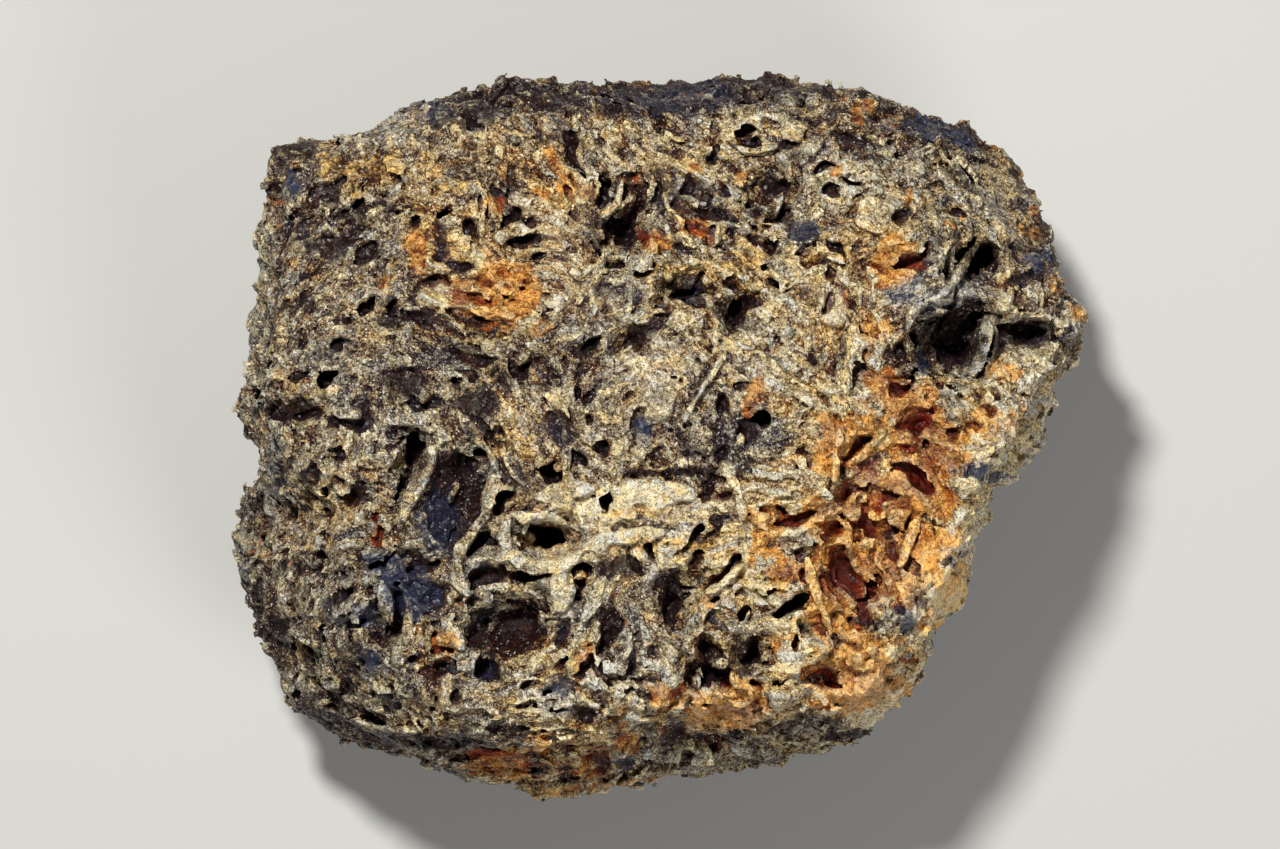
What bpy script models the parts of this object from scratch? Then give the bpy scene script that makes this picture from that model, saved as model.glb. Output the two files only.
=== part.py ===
"""Anglesite specimen: one loose, cavernous lump of intergrown anglesite blades.

The lump is a single stone. It lies on its broadest broken face with the cellular
face up. Row frame: metres, +Z up, +Y towards the specimen's dark upper edge,
origin at the middle of the base.

The form is built in millimetres from a plan outline, a side profile whose
reach varies round the outline, a set of broken planes, and hollows. A geodesic
sphere is pushed out from the middle of the lump onto that form.
"""

import math

import bmesh
import bpy
import numpy as np
from mathutils import Vector, noise

# ---- driving dimensions, mm -------------------------------------------------
HEIGHT = 43.0  # top of the cellular face above the base
CENTRE = (-0.5, 0.0, 19.0)  # where the rays of the geodesic sphere start
UNDERSIDE = 2.6  # how far the broken underside stands above the resting plane between its feet
TRIANGLES = 8800
SEED = Vector((31.7, 4.2, 17.9))

# Plan outline at the widest level, clockwise from the upper left corner.
OUTLINE = [
    (-39.1, 29.4), (-36.3, 30.0), (-33.0, 30.4), (-30.4, 30.8), (-28.2, 31.5),
    (-26.0, 32.6), (-23.7, 33.9), (-21.5, 34.5), (-18.9, 34.9), (-15.9, 35.4),
    (-13.6, 36.2), (-11.4, 36.1), (-9.1, 35.9), (-7.7, 35.5), (-4.9, 35.7),
    (-1.6, 35.9), (2.0, 35.9), (4.5, 35.9), (6.2, 36.3), (9.1, 36.5),
    (12.3, 36.9), (14.2, 36.6), (16.1, 35.9), (18.6, 35.9), (21.2, 35.5),
    (23.4, 35.2), (25.7, 34.2), (27.2, 33.6), (29.2, 32.1), (30.8, 32.1),
    (32.0, 30.9), (33.9, 29.6), (35.5, 28.5), (36.8, 26.9), (37.8, 24.6),
    (38.7, 23.0), (39.5, 21.4), (40.2, 19.5), (40.3, 17.0), (41.3, 15.1),
    (42.3, 13.8), (43.0, 12.5), (42.9, 10.0), (42.2, 8.0), (41.1, 5.8),
    (39.4, 5.5), (39.5, 4.2), (39.8, 2.6), (38.8, 0.1), (37.9, -1.9),
    (36.9, -3.2), (35.8, -4.0), (34.4, -4.5), (33.9, -6.2), (33.8, -8.2),
    (32.7, -9.8), (32.0, -12.4), (31.5, -14.6), (30.7, -17.1), (29.0, -19.0),
    (27.6, -19.8), (28.2, -20.6), (28.4, -21.9), (26.6, -23.8), (25.8, -25.7),
    (24.1, -27.0), (21.8, -28.6), (21.6, -30.2), (20.8, -31.0), (18.0, -31.5),
    (16.7, -32.7), (14.8, -32.4), (11.6, -33.1), (8.4, -33.7), (6.2, -34.3),
    (3.6, -34.7), (0.5, -35.0), (-0.8, -35.9), (-4.9, -36.1), (-6.9, -36.5),
    (-9.5, -36.8), (-12.7, -36.5), (-14.4, -35.9), (-16.1, -35.5), (-19.2, -35.6),
    (-22.1, -33.9), (-23.5, -32.9), (-27.3, -32.2), (-29.6, -31.6), (-33.0, -30.4),
    (-35.6, -28.7), (-37.3, -27.3), (-37.9, -25.0), (-39.3, -22.1), (-40.4, -20.1),
    (-41.3, -17.3), (-42.4, -15.6), (-43.0, -13.5), (-43.2, -11.3), (-42.9, -8.7),
    (-42.7, -6.4), (-41.3, -4.9), (-40.0, -4.1), (-40.0, -2.1), (-41.0, -0.5),
    (-41.9, 1.4), (-43.0, 2.5), (-42.9, 3.6), (-42.0, 5.5), (-41.1, 7.8),
    (-41.4, 10.0), (-41.5, 12.0), (-40.8, 13.9), (-40.3, 17.8), (-40.5, 20.4),
    (-40.0, 22.9), (-39.8, 26.0), (-39.3, 27.7),
]

# Side profile round the outline: angle in degrees, level of the widest girth,
# plan width of the upper flank, plan width of the undercut lower flank.
PROFILE = [
    (-180, 18.0, 3.2, 11.0),
    (-168, 14.0, 7.0, 9.5),
    (-150, 15.0, 6.0, 11.5),
    (-130, 17.0, 5.0, 15.0),
    (-105, 17.0, 6.5, 15.5),
    (-85, 15.5, 7.0, 14.0),
    (-62, 17.0, 5.0, 13.0),
    (-40, 19.5, 4.2, 14.5),
    (-20, 21.0, 3.6, 16.0),
    (0, 22.0, 4.5, 17.5),
    (17, 22.0, 6.0, 19.0),
    (38, 18.5, 8.0, 15.0),
    (60, 19.0, 6.0, 13.0),
    (90, 20.5, 4.2, 12.0),
    (120, 20.0, 4.2, 14.5),
    (142, 19.0, 3.4, 15.0),
    (160, 17.0, 2.8, 11.5),
]

# Broken planes that bound the form: a point on the plane, then its outward normal.
PLANES = [
    ((-5.0, -4.0, HEIGHT), (0.03, -0.02, 1.0)),  # cellular face
    ((0.0, 10.0, 42.8), (0.02, 0.27, 1.0)),  # granular face towards the upper edge
    ((-18.0, 14.0, 41.6), (-0.16, 0.20, 1.0)),  # its left shoulder
    ((24.0, 12.0, 41.6), (0.34, 0.14, 1.0)),  # right shoulder with the large vugs
    ((28.0, 24.0, 34.5), (0.62, 0.56, 1.0)),  # rounded upper right corner
    ((6.0, -24.0, 42.2), (0.05, -0.30, 1.0)),  # dip to the lower edge
    ((0.0, -31.0, 37.5), (0.0, -1.15, 1.0)),  # lower edge
    ((-33.0, -20.0, 40.2), (-0.45, -0.25, 1.0)),  # lower left shoulder
    ((-37.2, -16.0, 35.0), (-2.2, -0.4, 1.0)),  # left flank
    ((22.0, -20.0, 40.0), (0.50, -0.35, 1.0)),  # lower right shoulder
    ((-30.0, -20.0, 3.0), (-0.75, -0.35, -1.0)),  # underside facets
    ((24.0, -20.0, 3.5), (0.62, -0.55, -1.0)),
    ((27.0, 18.0, 4.0), (0.80, 0.45, -1.0)),
    ((-22.0, 27.0, 4.0), (-0.30, 0.95, -1.0)),
    ((39.0, 4.0, 12.0), (1.0, -0.15, -0.45)),
    ((-39.5, 12.0, 8.0), (-1.0, 0.10, -0.55)),
    ((8.0, -32.0, 6.0), (0.10, -1.0, -0.50)),
    ((6.0, 33.0, 9.0), (0.20, 1.0, -0.40)),
    ((-37.0, 28.6, 9.0), (-0.85, 0.60, -0.45)),
]

# Knobs of the underside that reach the resting plane: x, y, radius, mm. The
# first is the broadest and has the specimen's flat resting face.
FEET = [
    (-15.0, -12.0, 8.5),
    (17.0, -13.0, 6.5),
    (-18.0, 14.0, 7.0),
    (13.0, 15.0, 6.0),
]

# Hollows in the upper surface: x, y, half length, half width, angle in degrees
# of the length, depth. Each is a bowl with steep sides.
HOLLOWS = [
    (29.0, 9.3, 4.2, 3.3, 40, 6.5),  # large vug between blades
    (36.3, 10.2, 3.0, 1.7, -5, 5.0),
    (31.3, 17.1, 2.3, 2.0, -30, 5.0),
    (24.3, 5.0, 7.5, 3.4, 62, 1.6),  # trough beside it
    (23.2, -5.5, 10.5, 5.6, 68, 3.4),  # rust stained hollow
    (20.0, -13.2, 3.4, 3.1, 60, 4.6),
    (25.6, -3.6, 3.0, 2.6, 40, 3.0),
    (16.8, -24.0, 3.4, 2.2, 10, 2.4),
    (-10.5, -9.8, 3.1, 1.6, 0, 4.4),  # ring shaped cell
    (-14.1, -18.1, 3.4, 2.5, 20, 4.0),
    (-24.6, -3.6, 3.5, 1.1, 70, 4.6),  # slot between two blades
    (-18.2, -3.4, 3.2, 2.2, 75, 2.6),
    (-3.3, 19.6, 1.7, 1.5, 60, 3.4),
    (2.6, 14.4, 2.0, 1.3, 0, 3.4),
    (11.0, 23.8, 2.3, 1.7, 10, 3.0),
    (7.6, 12.2, 1.9, 1.4, 60, 3.4),
    (1.4, -16.2, 2.6, 1.3, 80, 3.8),
    (-36.0, 2.4, 3.2, 0.9, 5, 3.0),
    (-2.8, 9.0, 1.5, 1.3, 0, 2.6),
    (-12.0, 6.3, 2.2, 1.2, -35, 2.0),
    (9.5, -21.5, 1.8, 1.4, 60, 3.4),
    (4.0, -23.3, 1.6, 1.6, 60, 3.4),
    (-33.0, -13.0, 1.2, 2.4, 0, 2.2),
    (-27.0, -18.3, 2.2, 0.9, 80, 3.2),
    (16.5, -18.4, 2.2, 1.1, 30, 3.6),
    (-14.6, 12.5, 3.0, 1.6, 25, 1.2),
    (-21.0, 9.6, 3.6, 2.0, -25, 1.5),
]

# Deep notches and bites in the flanks: centre and radii, mm, all three axes.
BITES = [
    ((-7.0, -35.5, 29.5), (8.5, 3.6, 3.6)),  # rusty undercut below the lower edge
    ((-27.0, -33.5, 22.0), (6.0, 2.4, 5.0)),
    ((40.5, 6.5, 15.0), (3.2, 2.2, 6.0)),
    ((-43.5, -3.0, 24.0), (3.6, 1.8, 9.0)),
    ((30.5, -19.6, 24.0), (3.6, 1.4, 7.0)),
    ((18.0, 38.0, 9.0), (9.0, 4.2, 4.4)),
    ((-16.0, 37.0, 12.0), (6.0, 3.2, 3.4)),
    ((-43.0, 14.0, 8.0), (3.8, 6.0, 3.8)),
]


def smooth_max(a, b, k):
    """The larger of two fields, with the crease between them rounded over about k."""
    h = np.clip(0.5 + 0.5 * (a - b) / k, 0.0, 1.0)
    return b + (a - b) * h + k * h * (1.0 - h)


def softened(loop, turns):
    """The outline with its small notches worn away."""
    for _ in range(turns):
        loop = (np.roll(loop, 1, axis=0) + 2 * loop + np.roll(loop, -1, axis=0)) / 4
    return loop


def outline_depth(loop, x, y):
    """How far a point lies inside a closed outline, in mm; negative outside."""
    a, b = loop, np.roll(loop, -1, axis=0)
    d = b - a
    p = np.stack([x, y], axis=-1)[:, None, :]
    t = np.clip(((p - a) * d).sum(-1) / (d * d).sum(-1), 0.0, 1.0)
    nearest = np.sqrt((((a + t[..., None] * d) - p) ** 2).sum(-1)).min(axis=1)
    above = (a[:, 1] > y[:, None]) != (b[:, 1] > y[:, None])
    cross = a[:, 0] + (y[:, None] - a[:, 1]) * d[:, 0] / np.where(d[:, 1] == 0, 1e-9, d[:, 1])
    inside = ((x[:, None] < cross) & above).sum(axis=1) % 2 == 1
    return np.where(inside, nearest, -nearest)


def profile_at(x, y):
    """Girth level, upper flank width and lower flank width in the direction of (x, y)."""
    angle = np.degrees(np.arctan2(y, x))
    table = np.array(PROFILE)
    first = table[0].copy()
    first[0] += 360
    table = np.vstack([table, first])
    return [np.interp(angle, table[:, 0], table[:, i]) for i in (1, 2, 3)]


def form(p):
    """Negative inside the lump, positive outside, roughly in mm."""
    x, y, z = p.T
    girth, upper, lower = profile_at(x, y)
    away = np.clip((np.abs(z - girth) - 1.5) / 9.0, 0.0, 1.0)
    away = away * away * (3 - 2 * away)
    sharp = np.array(OUTLINE)
    depth = (1 - away) * outline_depth(sharp, x, y)
    depth += away * outline_depth(softened(sharp, 14), x, y)
    up = np.clip((z - girth) / 21.0, 0.0, None)
    down = np.clip((girth - z) / girth, 0.0, None)
    inset = upper * up**1.7 + lower * down**2.0
    field = inset - depth
    for point, normal in PLANES:
        n = np.array(normal) / np.linalg.norm(normal)
        field = smooth_max(field, (p - np.array(point)) @ n, 1.4)
    return field


def hollows(p):
    """How far each point of the upper surface is let down into a hollow, in mm."""
    x, y, z = p.T
    drop = np.zeros(len(p))
    for hx, hy, a, b, turn, deep in HOLLOWS:
        c, s = math.cos(math.radians(turn)), math.sin(math.radians(turn))
        u = ((x - hx) * c + (y - hy) * s) / a
        v = (-(x - hx) * s + (y - hy) * c) / b
        q = u * u + v * v
        drop = np.maximum(drop, deep * np.clip(1.25 - q, 0.0, 1.0) ** 0.75)
    return drop * np.clip((z - 24.0) / 8.0, 0.0, 1.0)


def bite(p):
    """Negative inside a bite."""
    field = np.full(len(p), 1e3)
    for centre, radii in BITES:
        q = np.linalg.norm((p - np.array(centre)) / np.array(radii), axis=1)
        field = np.minimum(field, (q - 1.0) * min(radii))
    return field


def roughness(points, flank):
    """Broken relief of the stone, in mm along the ray, from coarse steps to fine lumps."""
    out = np.empty(len(points))
    for i, p in enumerate(points):
        v = Vector(p) + SEED
        v += noise.noise_vector(v / 9.0) * 2.0
        coarse = noise.fractal(v / 15.0, 1.0, 2.0, 2)
        block = noise.cell(Vector((v.x / 9.0, v.y / 7.0 + v.z / 30.0, v.z / 6.0))) - 0.5
        near = noise.voronoi(v / 6.5, distance_metric="DISTANCE")[0]
        lump = min(near[1] - near[0], 0.6) - 0.3
        fine = noise.noise(v / 2.3)
        out[i] = 1.2 * coarse + 2.2 * lump * flank[i] + 0.35 * block * flank[i] + 1.1 * lump + 0.35 * fine
    return out


def make_lump():
    bpy.ops.mesh.primitive_ico_sphere_add(subdivisions=6, radius=1.0)
    lump = bpy.context.object
    lump.name = "anglesite_specimen"
    lump.data.name = "anglesite_specimen"
    n = len(lump.data.vertices)
    way = np.empty(n * 3)
    lump.data.vertices.foreach_get("co", way)
    way = way.reshape(-1, 3) * (1.0, 0.92, 0.66)
    way /= np.linalg.norm(way, axis=1)[:, None]
    centre = np.array(CENTRE)

    # Find where each ray leaves the form.
    near, far = np.zeros(n), np.full(n, 70.0)
    for _ in range(34):
        middle = (near + far) / 2
        p = centre + way * middle[:, None]
        inside = np.maximum(form(p), -bite(p)) < 0
        near, far = np.where(inside, middle, near), np.where(inside, far, middle)
    reach = near
    p = centre + way * reach[:, None]

    # Relief fades at the girth, which keeps the plan outline true.
    girth = profile_at(p[:, 0], p[:, 1])[0]
    away = np.clip(np.abs(p[:, 2] - girth) / 5.0, 0.0, 1.0)
    step = np.clip((HEIGHT - 5.0 - p[:, 2]) / 6.0, 0.0, 1.0)
    rough = roughness(p, step)
    p = p + way * (rough * (0.14 + 0.86 * away))[:, None]
    over = np.clip(-outline_depth(np.array(OUTLINE), p[:, 0], p[:, 1]), 0.0, None)
    level = np.linalg.norm(way[:, :2], axis=1)
    p = p - way * np.where(level > 0.4, over / np.maximum(level, 0.4), 0.0)[:, None]
    p[:, 2] -= hollows(p)

    # The underside: what reaches the resting plane is flat on it, and the rest
    # of the broken face stands a little above.
    lift = np.empty(n)
    for i, q in enumerate(p):
        v = Vector((q[0], q[1], 0.0)) + SEED
        near = noise.voronoi(v / 8.0, distance_metric="DISTANCE")[0]
        lift[i] = UNDERSIDE * (0.75 + 0.5 * noise.fractal(v / 13.0, 1.0, 2.0, 3) - 0.5 * min(near[1] - near[0], 0.5))
        lift[i] += 0.5 * noise.noise(v / 2.6)
        for fx, fy, r in FEET:
            away_from = math.hypot(q[0] - fx, q[1] - fy) + 1.6 * noise.noise(v / 3.0)
            lift[i] = min(lift[i], 0.55 * max(away_from - 0.62 * r, 0.0) - 0.02)
    under = np.clip((5.5 - p[:, 2]) / 5.5, 0.0, 1.0)
    p[:, 2] = np.maximum(p[:, 2], 0.0) + under * np.maximum(lift, 0.0)

    lump.data.vertices.foreach_set("co", (p / 1000.0).ravel())
    lump.data.update()

    # Fewer, larger facets where the stone is plain.
    thin = lump.modifiers.new("fewer_facets", "DECIMATE")
    thin.ratio = TRIANGLES / len(lump.data.polygons)
    bpy.ops.object.modifier_apply(modifier=thin.name)
    settle(lump)
    return lump


def settle(lump):
    """Lays the feet exactly on the resting plane and the middle of the plan on the origin."""
    mesh = lump.data
    co = np.empty(len(mesh.vertices) * 3)
    mesh.vertices.foreach_get("co", co)
    co = co.reshape(-1, 3)
    co[:, 2] -= co[:, 2].min()
    co[co[:, 2] < 0.00022, 2] = 0.0
    co[:, :2] -= (co[:, :2].min(axis=0) + co[:, :2].max(axis=0)) / 2
    mesh.vertices.foreach_set("co", co.ravel())
    bm = bmesh.new()
    bm.from_mesh(mesh)
    bmesh.ops.triangulate(bm, faces=bm.faces)
    bmesh.ops.remove_doubles(bm, verts=bm.verts, dist=1e-6)
    bmesh.ops.recalc_face_normals(bm, faces=bm.faces)
    bm.to_mesh(mesh)
    bm.free()
    mesh.update()


def stone_material():
    material = bpy.data.materials.new("anglesite")
    material.use_nodes = True
    shader = material.node_tree.nodes["Principled BSDF"]
    shader.inputs["Base Color"].default_value = (0.30, 0.23, 0.14, 1.0)
    shader.inputs["Roughness"].default_value = 0.62
    shader.inputs["Metallic"].default_value = 0.0
    return material


def main():
    for obj in list(bpy.data.objects):
        bpy.data.objects.remove(obj, do_unlink=True)
    lump = make_lump()
    lump.data.materials.clear()
    lump.data.materials.append(stone_material())


main()
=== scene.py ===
"""Looks for the anglesite specimen: a cavernous lump of intergrown anglesite blades,
iron stained, with dark lead sulphide in its grain.

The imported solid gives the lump's size and large hollows. Here its surface is carved in a
distance field: a boxwork of open cells, the larger pits, slots, blades and ridges one by
one, and a granular relief. The result is one closed mesh. Druses of small crystals sit on
it as meshes of their own.

Places on the cellular face are given in a plan grid of 0.1 mm steps, u to the right and
v downwards, as seen from straight above; plan() turns a point of the lump into that grid.
"""

import math

import bpy
import numpy as np
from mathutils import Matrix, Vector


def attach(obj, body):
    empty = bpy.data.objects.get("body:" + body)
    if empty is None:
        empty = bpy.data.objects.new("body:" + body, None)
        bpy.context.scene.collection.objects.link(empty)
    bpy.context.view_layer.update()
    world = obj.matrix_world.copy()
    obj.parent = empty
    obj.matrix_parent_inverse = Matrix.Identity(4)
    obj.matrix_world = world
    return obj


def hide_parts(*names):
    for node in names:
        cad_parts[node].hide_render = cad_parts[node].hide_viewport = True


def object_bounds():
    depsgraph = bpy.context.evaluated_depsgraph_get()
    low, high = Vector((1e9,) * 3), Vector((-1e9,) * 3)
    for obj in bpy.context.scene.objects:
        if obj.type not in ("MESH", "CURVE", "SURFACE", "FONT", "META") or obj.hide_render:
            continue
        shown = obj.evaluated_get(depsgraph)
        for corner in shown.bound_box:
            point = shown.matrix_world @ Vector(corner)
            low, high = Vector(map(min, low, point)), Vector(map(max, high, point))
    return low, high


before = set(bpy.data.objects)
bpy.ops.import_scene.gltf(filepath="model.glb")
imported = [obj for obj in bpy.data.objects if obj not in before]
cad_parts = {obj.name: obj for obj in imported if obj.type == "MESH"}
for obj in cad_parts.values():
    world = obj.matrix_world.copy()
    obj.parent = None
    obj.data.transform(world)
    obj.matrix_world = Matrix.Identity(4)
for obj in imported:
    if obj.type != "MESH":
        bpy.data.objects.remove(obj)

import openvdb as vdb
from concurrent.futures import ThreadPoolExecutor
from mathutils import Vector

CAD_BOX = [list(map(float, c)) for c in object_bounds()]
NODE = "anglesite_specimen"
SEED = 20417

STEP = 0.30  # voxel, mm
BAND = 5.0  # how deep the distance field reaches, mm
TRIANGLES = 196_000

EYE = (-1.6, 1.2, 718.0)  # where the camera stands, mm


def plan(x, y, z):
    """Plan grid place of a point in mm, as seen from the camera."""
    k = 0.1 * (1 - (z - 18.0) / 700.0)
    return 640 + (x - EYE[0]) / k, 424.5 - (y - EYE[1]) / k


# ---- the cellular face, feature by feature ----------------------------------
# Outlines of open pits: depth in mm, then the corners in plan steps.
HOLES = [
    (3.0, [(333, 344), (340, 336), (350, 340), (342, 343), (337, 350)]),
    (3.0, [(260, 404), (267, 404), (282, 411), (289, 408), (300, 411), (307, 410), (316, 410), (321, 415),
           (316, 417), (300, 418), (286, 417), (279, 420), (268, 418), (262, 410)]),
    (2.5, [(338, 421), (347, 429), (363, 427), (370, 415), (366, 399), (361, 396), (359, 413), (352, 421)]),
    (3.0, [(403, 401), (414, 400), (421, 403), (436, 393), (439, 386), (442, 404), (424, 410), (415, 407)]),
    (2.2, [(295, 455), (293, 467), (286, 480), (278, 493), (271, 487), (275, 471), (283, 462), (289, 450)]),
    (3.0, [(309, 463), (316, 464), (320, 473), (317, 481), (312, 486), (307, 477)]),
    (2.0, [(298, 500), (306, 497), (314, 501), (310, 507), (300, 507)]),
    (2.0, [(349, 484), (363, 487), (366, 497), (352, 501), (347, 494)]),
    (5.4, [(405, 439), (411, 435), (425, 445), (421, 455), (414, 463), (409, 479), (402, 496), (395, 511),
           (390, 514), (391, 506), (398, 498), (403, 484), (407, 474), (408, 460), (406, 450)]),
    (2.2, [(385, 435), (394, 428), (400, 432), (392, 441)]),
    (3.0, [(373, 511), (381, 516), (384, 533), (381, 547), (378, 552), (375, 536), (372, 522)]),
    (2.3, [(440, 452), (454, 451), (474, 468), (483, 475), (482, 494), (484, 524), (462, 541), (444, 548),
           (428, 530), (424, 500), (430, 470)]),
    (4.0, [(495, 508), (496, 496), (504, 491), (516, 488), (519, 492), (516, 499), (506, 503), (497, 511)]),
    (4.2, [(541, 471), (545, 462), (553, 458), (562, 461), (566, 470), (563, 480), (556, 484), (546, 483)]),
    (4.2, [(591, 492), (613, 492), (613, 506), (607, 504)]),
    (4.5, [(586, 344), (589, 339), (595, 339), (598, 345), (595, 350), (588, 350)]),
    (3.8, [(516, 379), (518, 367), (530, 360), (538, 360), (527, 370), (524, 383), (518, 383)]),
    (2.6, [(579, 370), (581, 379), (578, 390), (577, 407), (574, 404), (574, 387), (576, 376)]),
    (2.2, [(580, 398), (596, 389), (594, 401), (582, 408)]),
    (2.0, [(541, 398), (552, 394), (551, 401), (544, 402)]),
    (3.0, [(669, 291), (686, 284), (713, 290), (699, 292), (693, 301), (674, 302), (668, 298)]),
    (3.2, [(710, 299), (723, 302), (730, 298), (749, 295), (763, 298), (751, 305), (744, 319), (735, 333),
           (730, 336), (727, 322), (724, 307)]),
    (2.2, [(764, 280), (772, 280), (771, 288), (765, 287)]),
    (3.0, [(685, 359), (700, 355), (699, 364), (696, 361)]),
    (1.6, [(716, 392), (730, 401), (731, 415), (723, 416), (716, 406)]),
    (5.0, [(757, 411), (766, 407), (773, 413), (771, 421), (764, 426), (756, 421)]),
    (3.2, [(741, 426), (751, 427), (753, 436), (747, 442), (741, 436)]),
    (1.6, [(671, 419), (682, 426), (685, 441), (675, 448)]),
    (3.4, [(704, 484), (712, 480), (711, 495), (705, 497)]),
    (3.0, [(964, 256), (973, 246), (986, 243), (997, 251), (999, 260), (989, 263), (983, 270), (979, 279)]),
    (2.0, [(926, 323), (939, 311), (966, 305), (984, 303), (981, 323), (971, 338), (976, 353), (963, 361),
           (959, 366), (953, 361), (946, 378), (941, 374), (939, 363), (933, 354), (928, 336)]),
    (4.6, [(943, 346), (954, 343), (966, 344), (968, 356), (959, 363), (950, 357)]),
    (4.0, [(939, 362), (946, 367), (953, 376), (943, 377)]),
    (3.0, [(1004, 331), (1014, 326), (1036, 324), (1054, 324), (1056, 333), (1039, 348), (1031, 343),
           (1016, 338), (1007, 336)]),
    (2.4, [(943, 428), (959, 426), (979, 428), (972, 435), (953, 435)]),
    (2.6, [(893, 429), (906, 417), (924, 408), (933, 415), (927, 431), (918, 443), (909, 432)]),
    (3.6, [(895, 470), (906, 462), (919, 464), (925, 472), (934, 486), (928, 499), (918, 492), (908, 477)]),
    (3.0, [(292, 567), (313, 565), (310, 571), (296, 581), (291, 577)]),
    (2.4, [(262, 625), (268, 617), (293, 615), (293, 622), (289, 632), (266, 634)]),
    (4.5, [(397, 599), (403, 606), (400, 632), (391, 633), (390, 624), (394, 609)]),
    (4.0, [(339, 679), (353, 676), (352, 688), (343, 691)]),
    (5.6, [(527, 528), (539, 525), (555, 526), (562, 532), (566, 540), (573, 541), (567, 545), (555, 549),
           (546, 550), (539, 543), (533, 537)]),
    (3.6, [(476, 547), (480, 536), (488, 528), (493, 537), (501, 540), (503, 547), (487, 546), (473, 553)]),
    (2.8, [(470, 573), (475, 567), (503, 563), (503, 571), (504, 575), (499, 584), (468, 587)]),
    (4.4, [(518, 571), (523, 560), (539, 570), (548, 577), (538, 577), (518, 581), (515, 577)]),
    (5.0, [(572, 566), (586, 556), (591, 564), (590, 577), (586, 587), (577, 597), (574, 597), (577, 587),
           (574, 578)]),
    (3.2, [(514, 601), (518, 595), (543, 601), (553, 613), (538, 609), (527, 605)]),
    (2.8, [(468, 631), (470, 620), (486, 609), (499, 608), (539, 611), (545, 632), (532, 648), (517, 654),
           (504, 661), (487, 654), (470, 648)]),
    (4.6, [(468, 631), (476, 617), (496, 608), (493, 620), (486, 634), (470, 639)]),
    (2.4, [(553, 634), (566, 616), (572, 629), (566, 648), (556, 651)]),
    (4.4, [(473, 678), (476, 662), (486, 655), (499, 664), (501, 681), (487, 681)]),
    (3.4, [(674, 537), (687, 536), (693, 523), (700, 521), (704, 529), (703, 536), (686, 539), (680, 546)]),
    (2.2, [(707, 520), (715, 514), (725, 519), (717, 529)]),
    (3.4, [(690, 561), (699, 552), (703, 557), (697, 568), (691, 573)]),
    (3.4, [(628, 558), (638, 561), (647, 569), (648, 582), (640, 577), (631, 568)]),
    (3.6, [(663, 572), (679, 576), (683, 600), (678, 614), (673, 633), (665, 627), (658, 620), (662, 607),
           (665, 589)]),
    (3.4, [(738, 611), (746, 607), (748, 624), (739, 627)]),
    (5.5, [(773, 616), (786, 602), (794, 594), (808, 597), (807, 603), (793, 612), (779, 617)]),
    (5.5, [(742, 661), (746, 648), (755, 640), (759, 646), (758, 661), (746, 664)]),
    (6.0, [(701, 641), (708, 648), (707, 661), (717, 668), (726, 669), (728, 681), (732, 690), (720, 690),
           (716, 684), (711, 693), (708, 696), (708, 676), (701, 661)]),
    (4.4, [(742, 676), (757, 676), (764, 683), (761, 699), (763, 706), (758, 710), (754, 703), (757, 690),
           (753, 683)]),
    (4.4, [(828, 565), (832, 552), (843, 553), (849, 568), (848, 590), (834, 590)]),
    (2.4, [(857, 573), (864, 576), (868, 588), (860, 593)]),
    (5.4, [(844, 616), (857, 620), (864, 606), (873, 613), (871, 626), (863, 628)]),
    (2.4, [(901, 587), (914, 588), (908, 594)]),
    (3.2, [(893, 607), (901, 600), (905, 609), (899, 613)]),
    (3.0, [(898, 654), (908, 650), (918, 657), (918, 665), (908, 667), (900, 663)]),
    (3.2, [(835, 631), (840, 638), (851, 638), (861, 647), (851, 648), (831, 640)]),
    (2.0, [(419, 669), (443, 658), (453, 661), (450, 671), (436, 679), (417, 675)]),
    (3.0, [(553, 752), (571, 743), (593, 750), (609, 752), (610, 770), (600, 779), (592, 766), (577, 755)]),
    (1.6, [(616, 721), (632, 730), (619, 744), (612, 733)]),
    (2.2, [(657, 721), (673, 718), (686, 727), (685, 738), (666, 741)]),
    (2.2, [(637, 696), (651, 690), (664, 699), (648, 710)]),
    (3.0, [(641, 712), (655, 713), (648, 721)]),
    (2.4, [(490, 719), (498, 714), (495, 728), (485, 733)]),
    (1.8, [(799, 699), (810, 696), (822, 704), (833, 707), (829, 711), (810, 707)]),
    (3.0, [(822, 728), (833, 724), (841, 730), (854, 731), (855, 742), (841, 741), (831, 736)]),
    (2.4, [(359, 308), (376, 292), (377, 301), (369, 313), (363, 316)]),
    (4.4, [(604, 177), (611, 180), (608, 191), (604, 202), (601, 209), (598, 204), (599, 194), (595, 190)]),
    (2.6, [(620, 187), (634, 182), (641, 187), (635, 194), (622, 194)]),
    (2.2, [(616, 221), (628, 219), (636, 236), (628, 246), (619, 239)]),
    (3.2, [(736, 144), (743, 138), (756, 138), (758, 144), (755, 150), (750, 147), (741, 148)]),
    (2.6, [(828, 186), (838, 195), (836, 199), (830, 192)]),
    (2.2, [(760, 189), (774, 182), (787, 179), (786, 190), (779, 199), (769, 195), (760, 200)]),
    (3.2, [(760, 244), (776, 241), (776, 251), (769, 258), (764, 251)]),
    (3.0, [(835, 526), (844, 532), (838, 535)]),
    (3.0, [(854, 538), (861, 532), (864, 539), (857, 542)]),
]

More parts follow.
